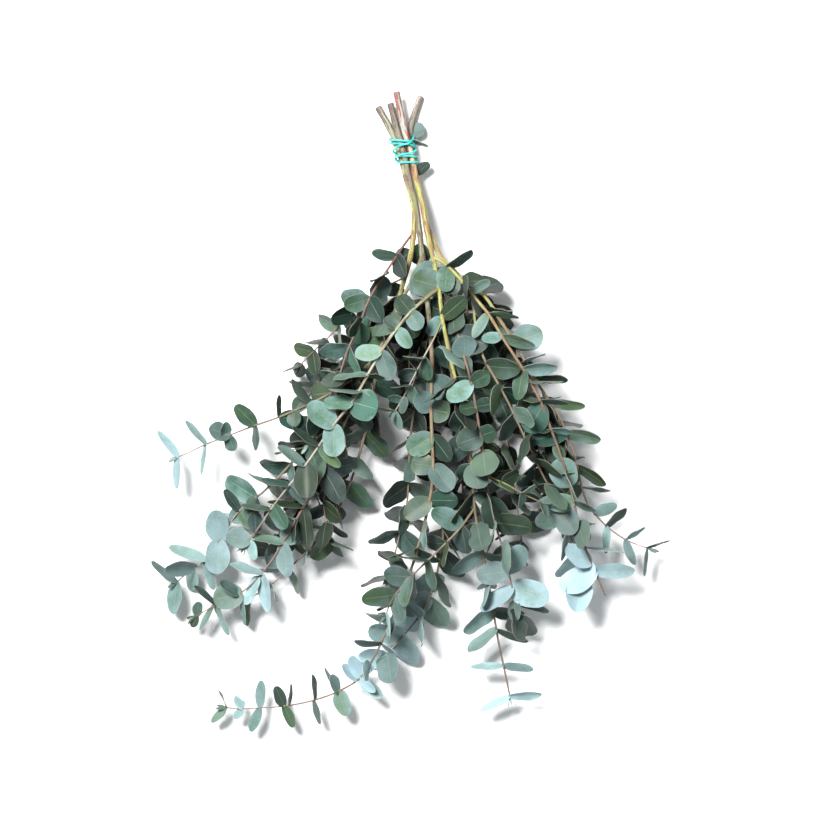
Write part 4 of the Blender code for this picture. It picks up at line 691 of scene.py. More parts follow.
def bark_material():
    """Bark with lengthwise streaks, small corky specks, and a dusty white bloom on the young wood."""
    made, tree, place = new_material("eucalyptus_bark")
    bark, tint, ring = on_surface(tree, "bark tint ring", "Vector")
    along, = on_surface(tree, "along")
    lengthwise = add(tree, "ShaderNodeCombineXYZ", {"Z": along * BARK_STRETCH})
    streaks = noise(ring * 1.1 + lengthwise, 2.2, 4.0, 0.65)
    fine = noise(ring * 4.0 + lengthwise, 6.0, 3.0, 0.6)
    broad = noise(ring * 0.9 + lengthwise, 1.1, 2.0)
    tinted = mixed(eased_step(broad, 0.48, 0.54) * 0.90, bark, tint)
    darker = mixed(0.80, tinted, STREAK_DARK)
    streaked = mixed(eased_step(streaks, 0.53, 0.62), tinted, darker)
    dusty = mixed(eased_step(fine, 0.52, 0.70) * 0.55, streaked, BARK_DUST)
    specks = add(tree, "ShaderNodeTexVoronoi", {"Vector": place, "Scale": 420.0}, "Distance")
    speckled = mixed((1.0 - eased_step(specks, 0.10, 0.22)) * 0.6, dusty, BARK_SPECK)
    return surfaced(made, speckled * 0.78, fine, (0.45, 0.8), streaks + fine * 0.5, (0.55, 0.0006))


def bark_colour(names, share):
    """The colour at this share of the way along a stem. Its colours change faster near its start."""
    names = names.split()
    place = min(max(share, 0.0), 1.0) ** 0.75 * (len(names) - 1)
    n = min(int(place), len(names) - 2)
    first, second = np.array(BARK[names[n]]), np.array(BARK[names[n + 1]])
    return first + (second - first) * (place - n)


def fine_stem(shoot):
    """One stem's rings: point, radius, distance, colour and tint, with its cut end and leaf nodes."""
    barks, streaks = BARK_OF.get(shoot.name, BARK_USUAL), TINT_OF.get(shoot.name, TINT_USUAL)
    fine, main = shoot.fine, shoot.is_main
    rings = []
    if main:
        ahead = (fine[1] - fine[0]) / np.linalg.norm(fine[1] - fine[0])
        for share, depth in CUT_RINGS:
            colour = CUT_PITH if share < 0.1 else CUT_EDGE if share > 0.9 else CUT_WOOD
            rings.append((fine[0] + ahead * depth, shoot.radius[0] * share, depth, colour, colour))
    start, step = (CUT_DEPTH, FINE_MAIN_STEP) if main else (0.0, FINE_SHOOT_STEP)
    for distance in np.arange(start, shoot.length, step):
        swelling = sum(math.exp(-(((distance - pair) / NODE_LENGTH) ** 2)) for pair in shoot.pairs)
        swelling = min(swelling, 1)
        wander = sum(share * math.sin(distance * pace + shoot.roll * lead) for share, pace, lead in WANDER)
        leafy = min(max((distance - shoot.first_pair) / SLIMMING_LENGTH + 1, 0), 1) if main else 1
        slim = 1 + (LEAFY_SLIMNESS - 1) * leafy
        radius = radius_at(shoot, distance) * slim * (1 + NODE_SWELLING * swelling + wander)
        scar = 1 - NODE_SCAR * swelling * math.sin(swelling * math.pi)
        dried = DRIED_DARKNESS * math.exp(-((distance / DRIED_END) ** 2)) if main else 0.0
        colour = bark_colour(barks, distance / shoot.length) * scar
        colour = colour + (np.array(BARK["purple_brown"]) - colour) * dried
        tint = bark_colour(streaks, distance / shoot.length)
        rings.append((point_on(shoot, distance), radius, distance, colour, tint))
    ends = bark_colour(barks, 1.0), bark_colour(streaks, 1.0)
    rings.append((fine[-1], shoot.radius[1] * TIP_TAPER, shoot.length, *ends))
    return rings


# The band's winding is needed here already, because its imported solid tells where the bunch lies.
BAND_RADIUS = 0.0010
BAND_SIDES = 5
BAND_STEPS = 16  # points for each turn
BAND_GAP = 0.0005
# Y where each turn starts on the left, passes over to the right, and so on under to the next one's left
BAND_TURNS = (
    (0.2710, 0.2662), (0.2672, 0.2636), (0.2546, 0.2521),
    (0.2470, 0.2473), (0.2512, 0.2610), (0.2576, 0.2743),
)
BAND_OVER = (3.5, 5.5)  # the turns between which it lies on the turns before
BAND_CLIMB = 0.09  # share of a turn in which it climbs on to them from either edge of the bunch


def band_lift(turn):
    """How far the strand stands off the bunch here to lie on the turns before."""
    if not BAND_OVER[0] < turn < BAND_OVER[1]:
        return 0.0
    t = min(1, min(turn % 0.5, 0.5 - turn % 0.5) / BAND_CLIMB)
    return (2 * BAND_RADIUS + BAND_GAP) * t * t * (3 - 2 * t)


def band_level(turn):
    """The strand's Y after this many turns: over from left to right, and under to the next left."""
    n = int(turn)
    (left, right), after = BAND_TURNS[n], BAND_TURNS[(n + 1) % len(BAND_TURNS)][0]
    share = 2 * (turn - n)
    return between((left, right), share) if share < 1 else between((right, after), share - 1)


def stems_at(mains, y):
    """Centre, radius and slopes of each of the four stems where it crosses this Y."""
    crossings = []
    for rings in mains:
        ring = next(n for n in range(len(rings)) if rings[n + 1][0].y < y)
        a, b = rings[ring], rings[ring + 1]
        share = (y - a[0].y) / (b[0].y - a[0].y)
        run = b[0] - a[0]
        crossings.append((a[0] + run * share, a[1], run.x / run.y, run.z / run.y))
    return crossings


def band_shape(mains):
    """An endless band wound down the four stems and slantwise back up over itself."""
    rings = []
    for n in range(len(BAND_TURNS) * BAND_STEPS):
        turn = n / BAND_STEPS
        angle = math.pi - 2 * math.pi * turn
        outward = Vector((math.cos(angle), 0, math.sin(angle)))
        off = BAND_GAP + BAND_RADIUS + band_lift(turn)
        spots = []
        for spot, radius, slope_x, slope_z in stems_at(mains, band_level(turn)):
            lean = slope_x * outward.x + slope_z * outward.z
            # A round stem that slants through the level of this strand has an oval section there.
            stretch = math.sqrt(1 + lean * lean)
            oval = outward + Vector((slope_x, 0, slope_z)) * lean
            spots.append(spot + oval * (radius / stretch) + outward * off)
        centre = max(spots, key=lambda spot: spot.dot(outward))
        rings.append((centre, BAND_RADIUS, (outward, Vector((0, 1, 0)), 0), BAND_SIDES))
    points, faces = tube(rings + rings[:1])
    points = points[:-BAND_SIDES]
    return points, [tuple(i % len(points) for i in face) for face in faces[1:-1]]


SHOOTS = []
for name, branch, *sizes, first_pair, bare_end, roll, route in SHOOT_TABLE:
    ends = metres((first_pair, bare_end))
    route = [metres(point) for point in route]
    SHOOTS.append(Shoot(name, "branch_" + branch, *map(metres, sizes), *ends, math.radians(roll), route))
BRANCHES = sorted({shoot.branch for shoot in SHOOTS})
WINDING = band_shape([stem_rings(shoot) for shoot in SHOOTS if shoot.is_main])
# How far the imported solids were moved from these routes
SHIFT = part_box("tie")[0] - Vector([min(point[k] for point in WINDING[0]) for k in range(3)])

bark = bark_material()
stem_tree = round_stem_tree()


def make_stems(title, branch, shoots):
    """One piece of all the stems that this branch has among these shoots."""
    rings, edges = [], []
    for shoot in shoots:
        if shoot.branch == branch:
            run = fine_stem(shoot)
            edges += [(len(rings) + n, len(rings) + n + 1) for n in range(len(run) - 1)]
            rings += run
    points, radii, distances, colours, tints = zip(*rings)
    carried = {"thickness": radii, "along": distances, "bark": colours, "tint": tints}
    stems = points_object(
        branch.replace("branch", title), [Vector(point) + SHIFT for point in points], edges, carried
    )
    grown_by(stems, stem_tree, {"Sides": FINE_SIDES, "Bark": bark})
    stand_for(stems, branch)


for branch in BRANCHES:
    make_stems("stems", branch, SHOOTS)

# BAND
# A turquoise rubber band, wound in six turns round the four stems near their cut ends. It is an endless
# loop, stretched tight, so it crosses itself, bites a little at the corners and holds by its own pull.

BAND_BLUE = (0.000, 0.430, 0.400)
BAND_STRETCHED = (0.040, 0.660, 0.610)  # paler where it is stretched over a stem
BAND_DUST = (0.55, 0.85, 0.82)
BAND_FINE_STEPS = 5  # fine points between two of the winding's own
BAND_SLIMNESS = 0.92  # its round radius as a share of its five-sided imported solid's


def band_material():
    """Smooth soft rubber, paler where it is stretched, with fine dust in its surface."""
    made, tree, place = new_material("turquoise_rubber")
    stretch, dust = noise(place, 90.0, 2.0), noise(place, 900.0, 3.0, 0.7)
    colour = mixed(eased_step(stretch, 0.40, 0.62), BAND_BLUE, BAND_STRETCHED)
    dusted = mixed(eased_step(dust, 0.6, 0.8) * 0.3, colour, BAND_DUST)
    return surfaced(made, dusted, dust, (0.28, 0.5), dust, (0.2, 0.0001))


centres = np.array([tuple(point) for point in WINDING[0]]).reshape(-1, BAND_SIDES, 3).mean(1)
smooth = []
for n in range(len(centres)):
    around = [centres[(n + k) % len(centres)] for k in (-1, 0, 1, 2)]
    for t in np.arange(BAND_FINE_STEPS) / BAND_FINE_STEPS:
        smooth.append(Vector(curve_point(*around, t)) + SHIFT)
loop = [(n, (n + 1) % len(smooth)) for n in range(len(smooth))]
band = points_object("rubber_band", smooth, loop, {"thickness": [BAND_SLIMNESS * BAND_RADIUS] * len(smooth)})
grown_by(band, stem_tree, {"Sides": FINE_SIDES, "Bark": band_material()})
stand_for(band, "tie")

# LEAVES
# Round stalkless leaves, in pairs that each stand across the pair before. They are thin and leathery,
# green under a blue-white wax that is thickest on the youngest, with a pale midrib and fine side veins.
# They grew on the shoots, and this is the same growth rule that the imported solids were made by.

SOLID_THICKNESS = 0.0007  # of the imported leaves, whose room is kept free
LEAF_CLEARANCE = 0.0004  # to any leaf or stem that it doesn't grow from
LEAF_STAND_OFF = 0.0010  # from the stem's bark to where the blade starts to widen
ROOT_DEPTH = 0.0005  # under the bark
# Share of the length, and half-width as a share of the greatest half-width, at each pair of edge points
LEAF_OUTLINE = ((0.20, 0.80), (0.55, 1.00), (0.87, 0.62))
SMALL_OUTLINE = ((0.26, 0.90), (0.74, 0.86))
SMALL_LEAF = 0.031  # the width up to which a leaf has the plainer outline
LEAF_SPREAD = math.radians(62)  # between a leaf and the stem ahead of it
LEAF_TURN_TO_LIGHT = (0.05, 0.75)  # share of the turn that would lay the blade level
LEAF_CURL = (-0.10, 0.16)  # how far the tip bends off the blade's plane, as a share of its length
SET_CURL = (-0.02, 0.12)
DEEPEST_PRESS = 0.010  # how far under the table a leaf's tip may point before it is pressed flat
PLACE_TRIES = 40  # ways that a leaf may lie before its place is left bare
LEAST_TURN = 0.25  # share of the turns below that the first tries may take
TURNS = (-0.75, 0.75), (-0.75, 0.45), (-1.3, 1.3)  # about the stem, off the stem, about its own length
SHRINK = 0.22
SET_TURNS = 0.4, 0.8, 0.5  # shares of those turns that a set leaf may take
ROLL_PLAY = (-0.22, 0.22)
SPREAD_PLAY = (-0.24, 0.20)
LENGTH_PLAY = (0.96, 1.14)
WIDTH_PLAY = (0.95, 1.20)
SKY = Vector((0, 0, 1))

ACROSS_STEPS = 7
LENGTH_STEPS = 11
BLADE_THICKNESS = 0.00045
NECK_HALF_WIDTH = 0.0006
SHARP_EDGE = math.radians(60)
BUD_CURL = 0.12
# How far back from the tip, length, width, and how far they stand open
BUD_PLACES = ((0.0008, 0.009, 0.0035, 0.5), (-0.0016, 0.006, 0.0022, 0.28))

OLIVE_GREEN = (0.088, 0.150, 0.064)
TEAL_GREEN = (0.030, 0.102, 0.084)
DEEP_GREEN = (0.018, 0.055, 0.036)
WAX_BLUE = (0.325, 0.480, 0.490)
WAX_WHITE = (0.540, 0.745, 0.880)  # where the wax is at its thickest
UNDERSIDE = (0.230, 0.330, 0.260)
RIB_PALE = (0.300, 0.370, 0.230)
EDGE_TAN = (0.360, 0.300, 0.210)
SPECK_BROWN = (0.100, 0.060, 0.035)
USUAL_TONE = 0.74
LEAST_TONE, TONE_RANGE, TONE_BIAS = 0.24, 1.28, 1.3
YOUNG_BLOOM, BLOOM_BIAS = 0.18, 1.6  # how much more wax the youngest leaves have
BLOOM_PLAY = (-0.20, 0.32)
FOLDS = (-0.10, 0.34)  # how far a blade's sides rise from its midrib, as a share of its half-width
WAVES = (0.02, 0.13)
SEEDS = (0.0, 6.0)
DARKEST_TONE = 0.13
WAXY_TONE = 1.10  # before it is made usual, where the wax is thick
# Painted light and shade on the leaves: in the middle of the bunch, leaves above a usual level are painted
# paler and those below it darker, less so farther out.
PAINTED_SHADE_MIDDLE = (0.03, 0.02)
PAINTED_SHADE_REACH = 0.170
NO_PAINTED_SHADE_LEVEL = 0.065  # Z of the leaves in the middle that get neither painted light nor painted shade
PAINTED_LIGHT_PER_METRE = 19.0
# Where the wax lies thicker than its age tells, at the sheltered tips: X, Y, reach, how much more
WAXY_PLACES = (
    (-0.048, -0.262, 0.026, 1.25), (-0.096, -0.289, 0.013, 0.25), (-0.148, -0.282, 0.012, 0.50),
    (-0.168, -0.300, 0.012, 0.70), (0.176, -0.168, 0.036, 1.30), (0.150, -0.100, 0.030, 0.20),
    (0.097, -0.255, 0.022, 0.75), (0.100, -0.289, 0.022, 1.35), (0.075, -0.190, 0.018, 0.80),
    (0.108, -0.180, 0.018, 0.60), (-0.001, -0.220, 0.026, 0.95), (0.012, -0.170, 0.020, 0.30),
    (-0.193, -0.128, 0.026, 0.80), (-0.143, -0.172, 0.026, 0.75), (-0.125, -0.148, 0.020, 0.30),
    (-0.237, -0.050, 0.028, 0.80), (-0.205, -0.030, 0.022, 0.60), (-0.225, -0.160, 0.020, 0.25),
    (0.020, 0.005, 0.016, 0.50), (0.052, 0.060, 0.014, 0.40), (0.070, -0.150, 0.025, 0.45),
    (0.062, 0.140, 0.016, 0.45), (0.108, 0.064, 0.012, 0.45), (0.128, 0.042, 0.014, 0.45),
    (-0.033, 0.136, 0.012, 0.45), (0.010, 0.280, 0.012, 0.45), (0.012, 0.253, 0.012, 0.40),
    (0.230, -0.135, 0.030, 0.40), (0.190, -0.130, 0.020, 0.30), (-0.110, -0.210, 0.020, 0.60),
)


def root_depth(stem_radius):
    """How far from the stem's axis a leaf's root lies."""
    return max(0.0, stem_radius * math.cos(math.pi / LEAFY_SIDES) - ROOT_DEPTH)


def leaf_surface(axis, along, face, stem_radius, length, width, curl):
    """A leaf's middle surface: its root inside the stem, pairs of edge points, and the tip."""
    side = along.cross(face)
    reach = stem_radius + LEAF_STAND_OFF
    points = [axis + along * root_depth(stem_radius)]
    for share, wide in LEAF_OUTLINE if width > SMALL_LEAF else SMALL_OUTLINE:
        middle = axis + along * (reach + length * share) + face * (curl * length * share**2)
        points.append(middle - side * (wide * width / 2))
        points.append(middle + side * (wide * width / 2))
    points.append(axis + along * (reach + length) + face * (curl * length))
    return points


def thicken(surface, thickness, grow=0.0, with_root=True):
    """The closed blade round a middle surface. A point under the table is laid on it."""
    last = len(surface) - 1
    strips = [(0, 2, 1)] if with_root else []
    for n in range(1, last - 2, 2):
        strips += [(n, n + 1, n + 3), (n, n + 3, n + 2)]
    strips.append((last - 2, last - 1, last))
    edge = [0] if with_root else []
    edge += [*range(1, last - 1, 2), last, *range(last - 1, 0, -2)]
    half = thickness / 2
    used = sorted(edge)
    place = {old: new for new, old in enumerate(used)}
    normals = {i: Vector() for i in used}
    for a, b, c in strips:
        normal = (surface[b] - surface[a]).cross(surface[c] - surface[a])
        for i in (a, b, c):
            normals[i] += normal
    centre = sum((surface[i] for i in used), Vector()) / len(used)
    upper, lower = [], []
    for i in used:
        point = surface[i] + (surface[i] - centre).normalized() * grow
        normal = normals[i].normalized()
        if point.z - abs(normal.z) * half <= 0.0:
            point.z = half - grow
            normal = SKY * math.copysign(1, normals[i].z)
        upper.append(point + normal * half)
        lower.append(point - normal * half)
    count = len(used)
    faces = [tuple(place[i] for i in strip) for strip in strips]
    faces += [tuple(count + place[i] for i in reversed(strip)) for strip in strips]
    for a, b in zip(edge, edge[1:] + edge[:1]):
        faces.append((place[a], place[b], count + place[b], count + place[a]))
    return upper + lower, faces


def pose_leaf(leaf, roll, spread, twist, size):
    """The leaf's root, direction and upper face, and its length, once it is turned by these amounts."""
    root, ahead, level, upright = leaf["spot"]
    angle = leaf["roll"] + roll
    outward = math.cos(angle) * level + math.sin(angle) * upright
    opening = leaf["spread"] + spread
    along = (math.cos(opening) * ahead + math.sin(opening) * outward).normalized()
    length = leaf["length"] * size
    reach = leaf["stem_radius"] + LEAF_STAND_OFF + length
    if root.z + along.z * reach < -DEEPEST_PRESS:
        slope = (root.z + DEEPEST_PRESS) / reach
        along = Vector((along.x, along.y, 0)).normalized() * math.sqrt(1 - slope**2) - SKY * slope
    inward = ahead * math.sin(opening) - outward * math.cos(opening)
    face = (inward - along * inward.dot(along)).normalized()
    sky = (SKY - along * along.z).normalized()
    turn = math.atan2(face.cross(sky).dot(along), face.dot(sky)) * leaf["light"] + twist
    face = face * math.cos(turn) + along.cross(face) * math.sin(turn)
    return root, along, face.normalized(), length


def ways_to_lie(draw):
    """Turns to try, from none to large ones, as in TURNS, and a size with each."""
    yield 0, 0, 0, 1
    for n in range(1, PLACE_TRIES):
        reach = LEAST_TURN + (1 - LEAST_TURN) * n / PLACE_TRIES
        roll, spread, twist = (draw.uniform(*limits) * reach for limits in TURNS)
        yield roll, spread, twist, 1 - SHRINK * draw.random() * reach


def extent(shape):
    """A shape's points, the middle of its box, and how far its points reach from there."""
    points = np.array([tuple(point) for point in shape[0]])
    centre = (points.min(0) + points.max(0)) / 2
    return centre, np.linalg.norm(points - centre, axis=1).max()


class Foliage:
    """Every stem and leaf placed so far, for asking whether a new leaf lies clear of them."""

    def __init__(self):
        self.trees, self.branches = [], []
        self.centres, self.reaches = np.empty((0, 3)), np.empty(0)

    def add(self, shape, branch):
        centre, reach = extent(shape)
        self.trees.append(BVHTree.FromPolygons(*shape))
        self.branches.append(branch)
        self.centres = np.vstack([self.centres, centre])
        self.reaches = np.append(self.reaches, reach)

    def is_clear(self, whole, blade, branch):
        """A leaf's blade keeps clear of its own branch too, where the root has to touch."""
        centre, reach = extent(whole)
        near = np.linalg.norm(self.centres - centre, axis=1) < self.reaches + reach
        whole, blade = BVHTree.FromPolygons(*whole), BVHTree.FromPolygons(*blade)
        for i in np.nonzero(near)[0]:
            if (blade if self.branches[i] == branch else whole).overlap(self.trees[i]):
                return False
        return True


def ruled_ways(shoot, pair, side, draw):
    """Each way that a leaf which only follows the rule may lie, from the wanted one on."""
    distance = shoot.pairs[pair]
    leafy_length = shoot.length - shoot.bare_end - shoot.first_pair
    share = min(1, (distance - shoot.first_pair) / max(leafy_length, 1e-6))
    leaf = {
        "spot": place_on_chord(shoot, distance),
        "stem_radius": radius_at(shoot, distance),
        "roll": shoot.roll + math.pi / 2 * pair + math.pi * side + draw.uniform(*ROLL_PLAY),
        "spread": LEAF_SPREAD + draw.uniform(*SPREAD_PLAY),
        "light": draw.uniform(*LEAF_TURN_TO_LIGHT),
        "length": between(shoot.leaf_length, share) * draw.uniform(*LENGTH_PLAY),
        "width": between(shoot.leaf_width, share) * draw.uniform(*WIDTH_PLAY),
        "curl": draw.uniform(*LEAF_CURL),
    }
    for way in ways_to_lie(draw):
        root, along, face, length = pose_leaf(leaf, *way)
        yield root, along, face, leaf["stem_radius"], length, leaf["width"] * way[3], leaf["curl"]


def set_ways(shoot, leaf, place, draw):
    """Each way that a set leaf may lie, from the one that the table gives on."""
    root = place_on_chord(shoot, place)[0]
    radius = radius_at(shoot, place)
    angle, rise, length, width, turn = leaf[2:]
    reach = length / 1000 - radius - LEAF_STAND_OFF
    curl = draw.uniform(*SET_CURL)
    for roll, spread, twist, size in ways_to_lie(draw):
        heading = math.radians(angle) + SET_TURNS[0] * roll
        climb = math.radians(rise) + SET_TURNS[1] * spread
        if root.z + math.sin(climb) * length / 1000 < -DEEPEST_PRESS:
            climb = -math.asin((root.z + DEEPEST_PRESS) / (length / 1000))
        along = Vector((math.cos(heading), math.sin(heading), 0)) * math.cos(climb)
        along.z = math.sin(climb)
        sky = (SKY - along * along.z).normalized()
        lean = math.radians(turn) + SET_TURNS[2] * twist
        face = sky * math.cos(lean) + along.cross(sky) * math.sin(lean)
        yield root, along, face, radius, reach * size, width / 1000 * size, curl


def first_clear(ways, branch):
    """The first of these ways to lie that is clear of everything, or None. It is laid there."""
    room = SOLID_THICKNESS + 2 * LEAF_CLEARANCE
    for way in ways:
        surface = leaf_surface(*way)
        whole, blade = (thicken(surface, room, LEAF_CLEARANCE, rooted) for rooted in (True, False))
        if foliage.is_clear(whole, blade, branch):
            foliage.add(thicken(surface, SOLID_THICKNESS), branch)
            return way
    return None


def grow_leaves():
    """Lays the set leaves and then the ruled ones, as (shoot, place along it, way that it lies)."""
    grown = []
    for shoot in SHOOTS:
        for number, (leaf, place) in enumerate(set_places(shoot)):
            draw = random.Random(1000 * len(grown) + number)
            way = first_clear(set_ways(shoot, leaf, place, draw), shoot.branch)
            if way:
                grown.append((shoot, place, way))
    for number, shoot in enumerate(SHOOTS):
        taken = [place for _, place in set_places(shoot)]
        for pair, place in enumerate(shoot.pairs):
            if any(abs(place - other) < SAME_NODE for other in taken):
                continue
            for side in (0, 1):
                draw = random.Random(10000 * number + 10 * pair + side)
                way = first_clear(ruled_ways(shoot, pair, side, draw), shoot.branch)
                if way:
                    grown.append((shoot, place, way))
    return grown


def outline_width(share):
    """Half the blade's width at this share of its length, as a share of the widest: nearly round."""
    eased = share ** 0.92
    return ((1.0 - eased) * eased * 4.0).math("MAXIMUM", 0.0) ** 0.46


def leaf_tree():
    """Sets one leaf blade on every point, bent and sized by what the point carries."""
    inputs = {"Across Steps": "Int", "Length Steps": "Int", "Neck": "Float", "Thickness": "Float"}
    tree, given = geometry_tree("leaf_blades", {**inputs, "Blade": "Material"})
    steps = {"Vertices X": given["Across Steps"], "Vertices Y": given["Length Steps"]}
    sheet = add(tree, "GeometryNodeMeshGrid", {"Size X": 2.0, "Size Y": 1.0, **steps}, "Mesh")
    flat = add(tree, "GeometryNodeInputPosition").parts()
    # Rows stand closer together at the base and the tip, where the outline turns fastest.
    rows = (1.0 - ((flat[1] + 0.5) * math.pi).math("COSINE")) * 0.5
    sheet = marked(marked(sheet, "share", rows), "across", flat[0])
    blades = add(tree, "GeometryNodeInstanceOnPoints", {"Points": given["Geometry"], "Instance": sheet})
    real = add(tree, "GeometryNodeRealizeInstances", {"Geometry": blades})
    share, across, length, width, seed = stored(tree, "share across length width seed")
    gap, depth, curl, fold, wave = stored(tree, "gap depth curl fold wave")
    root, along, face = stored(tree, "root growth face", "FLOAT_VECTOR")
    side = along.vector_math("CROSS_PRODUCT", face)
    spread = across.math("ABSOLUTE")
    half = width * 0.5 * outline_width(share)
    # Each side swells and narrows a little on its own.
    swell = (share * 7.0 + (across * 2.1 + seed * 2.0)).math("SINE")
    neck = share * (given["Neck"] * -0.6) + given["Neck"]
    half = (half * (swell * 0.055 + 1.0)).math("MAXIMUM", neck)
    # The base runs a little way back round the stem on both sides, and the tip comes to a blunt point.
    lobes = (1.0 - share) ** 5.0 * spread * (width * -0.10)
    forward = share * (length + gap) + depth + lobes
    lift = curl * length * share ** 2.0
    folded = fold * half * spread ** 1.4
    ripple = (share * 8.5 + (across * 1.3 + seed)).math("SINE")
    waved = ripple * (half * wave) * spread ** 2.0
    place = root + along * forward + side * (half * across) + face * (lift + (folded + waved))
    # A blade that would pass through the table lies on it.
    x, y, z = place.parts()
    resting = {"X": x, "Y": y, "Z": z.math("MAXIMUM", given["Thickness"])}
    resting = {"Geometry": real, "Position": add(tree, "ShaderNodeCombineXYZ", resting)}
    return finished(add(tree, "GeometryNodeSetPosition", resting), given["Blade"])


def leaf_material():
    """Leathery green under blue-white wax, with a midrib, side veins, a tan edge and brown specks."""
    made, tree, place = new_material("eucalyptus_leaf")
    share, across, bloom, warm, seed, tone = on_surface(tree, "share across bloom warm seed tone")
    face, = on_surface(tree, "face", "Vector")
    spread = across.math("ABSOLUTE")
    patches, fine = noise(place, 55.0, 4.0, 0.6), noise(place, 380.0, 3.0, 0.6)
    green = mixed(warm, TEAL_GREEN, OLIVE_GREEN)
    mottled = mixed(eased_step(patches, 0.35, 0.7) * 0.55, green, DEEP_GREEN)
    # The wax is thinner in the middle of the blade and thickest near the edge.
    edge_wax = spread ** 2.0 * 0.16 - 0.05
    wax = bloom + (patches - 0.5) * 1.05 + (fine - 0.5) * 0.30 + edge_wax
    thick, wax = (wax - 0.85).kept_in(0.0, 1.0), wax.kept_in(0.0, 1.0)
    waxed = mixed(thick, mixed(wax, mottled, WAX_BLUE), WAX_WHITE)
    normal = add(tree, "ShaderNodeNewGeometry", out="Normal")
    under = normal.vector_math("DOT_PRODUCT", face, "Value").math("LESS_THAN", 0.0)
    # Each leaf is darkened or paled by its tone: a random tone of its own, with painted light and shade by
    # height, and more painted shade on the leaves laid low among the shaded shoots.
    both = mixed(under * 0.50, waxed, UNDERSIDE) * tone.math("MAXIMUM", DARKEST_TONE)
    # Side veins leave the midrib at a slant and join near the edge.
    ladder = (share * 15.0 - spread * 3.2 + patches * 1.5 + seed).math("PINGPONG", 0.5)
    veins = (1.0 - eased_step(ladder, 0.02, 0.12)) * (1.0 - eased_step(spread, 0.70, 0.92))
    rib = (1.0 - eased_step(spread, 0.010, 0.050)) * (1.0 - eased_step(share, 0.80, 0.98))
    ribbed = mixed(rib * 0.30, mixed(veins * 0.13, both, RIB_PALE), RIB_PALE)
    edged = mixed(eased_step(spread, 0.955, 0.995) * 0.35, ribbed, EDGE_TAN)
    spots = add(tree, "ShaderNodeTexVoronoi", {"Vector": place, "Scale": 130.0}, "Distance")
    chance = Flow(tree, spots.socket.node.outputs["Color"]).parts()[0].math("GREATER_THAN", 0.80)
    specked = mixed((1.0 - eased_step(spots, 0.04, 0.11)) * chance * 0.7, edged, SPECK_BROWN)
    height = veins * -0.5 + rib * -1.0 + fine * 0.35 + patches * 0.8
    return surfaced(made, specked, wax, (0.42, 0.68), height, (0.45, 0.0005), 0.30)


def waxier_at(spot):
    """How much more wax than usual there is on a leaf at this spot."""
    more = 0.0
    for x, y, reach, amount in WAXY_PLACES:
        more += amount * math.exp(-((spot.x - x) ** 2 + (spot.y - y) ** 2) / reach**2)
    return more


def painted_light_and_shade_at(root):
    """Painted light and shade by height: high leaves are painted paler, low ones in the middle of the bunch
    darker.
    """
    away = (root.x - PAINTED_SHADE_MIDDLE[0]) ** 2 + (root.y - PAINTED_SHADE_MIDDLE[1]) ** 2
    return PAINTED_LIGHT_PER_METRE * (root.z - NO_PAINTED_SHADE_LEVEL) * math.exp(-away / PAINTED_SHADE_REACH**2)


def fine_leaf(way, shoot_share, draw):
    """What one fine blade carries. The wax is thicker on younger leaves."""
    root, along, face, stem_radius, length, width, curl = way
    depth = root_depth(stem_radius)
    waxier = waxier_at(root + along * length / 2)
    # The leaf's own random tone, with painted light and shade for its height added.
    tone = LEAST_TONE + TONE_RANGE * draw.random() ** TONE_BIAS + painted_light_and_shade_at(root)
    return {
        "root": root + SHIFT,
        "growth": along,
        "face": face,
        "depth": depth,
        "gap": stem_radius + LEAF_STAND_OFF - depth,
        "length": length,
        "width": width,
        "curl": curl,
        "fold": draw.uniform(*FOLDS),
        "wave": draw.uniform(*WAVES),
        "seed": draw.uniform(*SEEDS),
        "bloom": YOUNG_BLOOM * shoot_share**BLOOM_BIAS + draw.uniform(*BLOOM_PLAY) + waxier,
        "warm": draw.uniform(0.0, 1.0),
        "tone": USUAL_TONE * between((tone, WAXY_TONE), min(max(waxier, 0.0), 1.0)),
    }


def tip_buds(shoot):
    """The furled young leaves past the last pair of a shoot that isn't cut short."""
    for n, (back, length, width, opening) in enumerate(BUD_PLACES):
        root, ahead, level, upright = place_on(shoot, shoot.length - back)
        for side in (0, 1):
            angle = shoot.roll + math.pi * side + math.pi / 2 * (len(shoot.pairs) + n)
            outward = math.cos(angle) * level + math.sin(angle) * upright
            along = (math.cos(opening) * ahead + math.sin(opening) * outward).normalized()
            face = (ahead * math.sin(opening) - outward * math.cos(opening)).normalized()
            way = root, along, face, shoot.radius[1], length, width, BUD_CURL
            yield fine_leaf(way, 1.0, random.Random(f"{shoot.name}{n}{side}"))


foliage = Foliage()
for shoot in SHOOTS:
    foliage.add(tube(stem_rings(shoot)), shoot.branch)
foliage.add(WINDING, "tie")
leaves = {branch: [] for branch in BRANCHES}
for number, (shoot, place, way) in enumerate(grow_leaves()):
    way = (point_on(shoot, place), *way[1:])
    leaves[shoot.branch].append(fine_leaf(way, place / shoot.length, random.Random(70000 + number)))
for shoot in SHOOTS:
    if not shoot.bare_end:
        leaves[shoot.branch] += tip_buds(shoot)

blade = leaf_material()
blade_tree = leaf_tree()


def make_leaves(title, branch, leaves):
    """One piece of all these leaves."""
    carried = {name: [leaf[name] for leaf in leaves] for name in leaves[0]}
    grown = points_object(branch.replace("branch", title), carried["root"], [], carried)
    sizes = {"Across Steps": ACROSS_STEPS, "Length Steps": LENGTH_STEPS, "Neck": NECK_HALF_WIDTH}
    sizes.update({"Thickness": BLADE_THICKNESS / 2, "Blade": blade})
    wall = {"thickness": BLADE_THICKNESS, "offset": 0.0}
    grown_by(grown, blade_tree, sizes, [("SOLIDIFY", wall)])
    grown.data.set_sharp_from_angle(angle=SHARP_EDGE)
    stand_for(grown, branch)


for branch in BRANCHES:
    make_leaves("leaves", branch, leaves[branch])

# SHADED SHOOTS
# Small leafy side shoots low in the shade of the bunch, and a few single leaves on the bare stems.
# They grew like the others. Each leaf or stem is laid only where it is clear of all the rest.

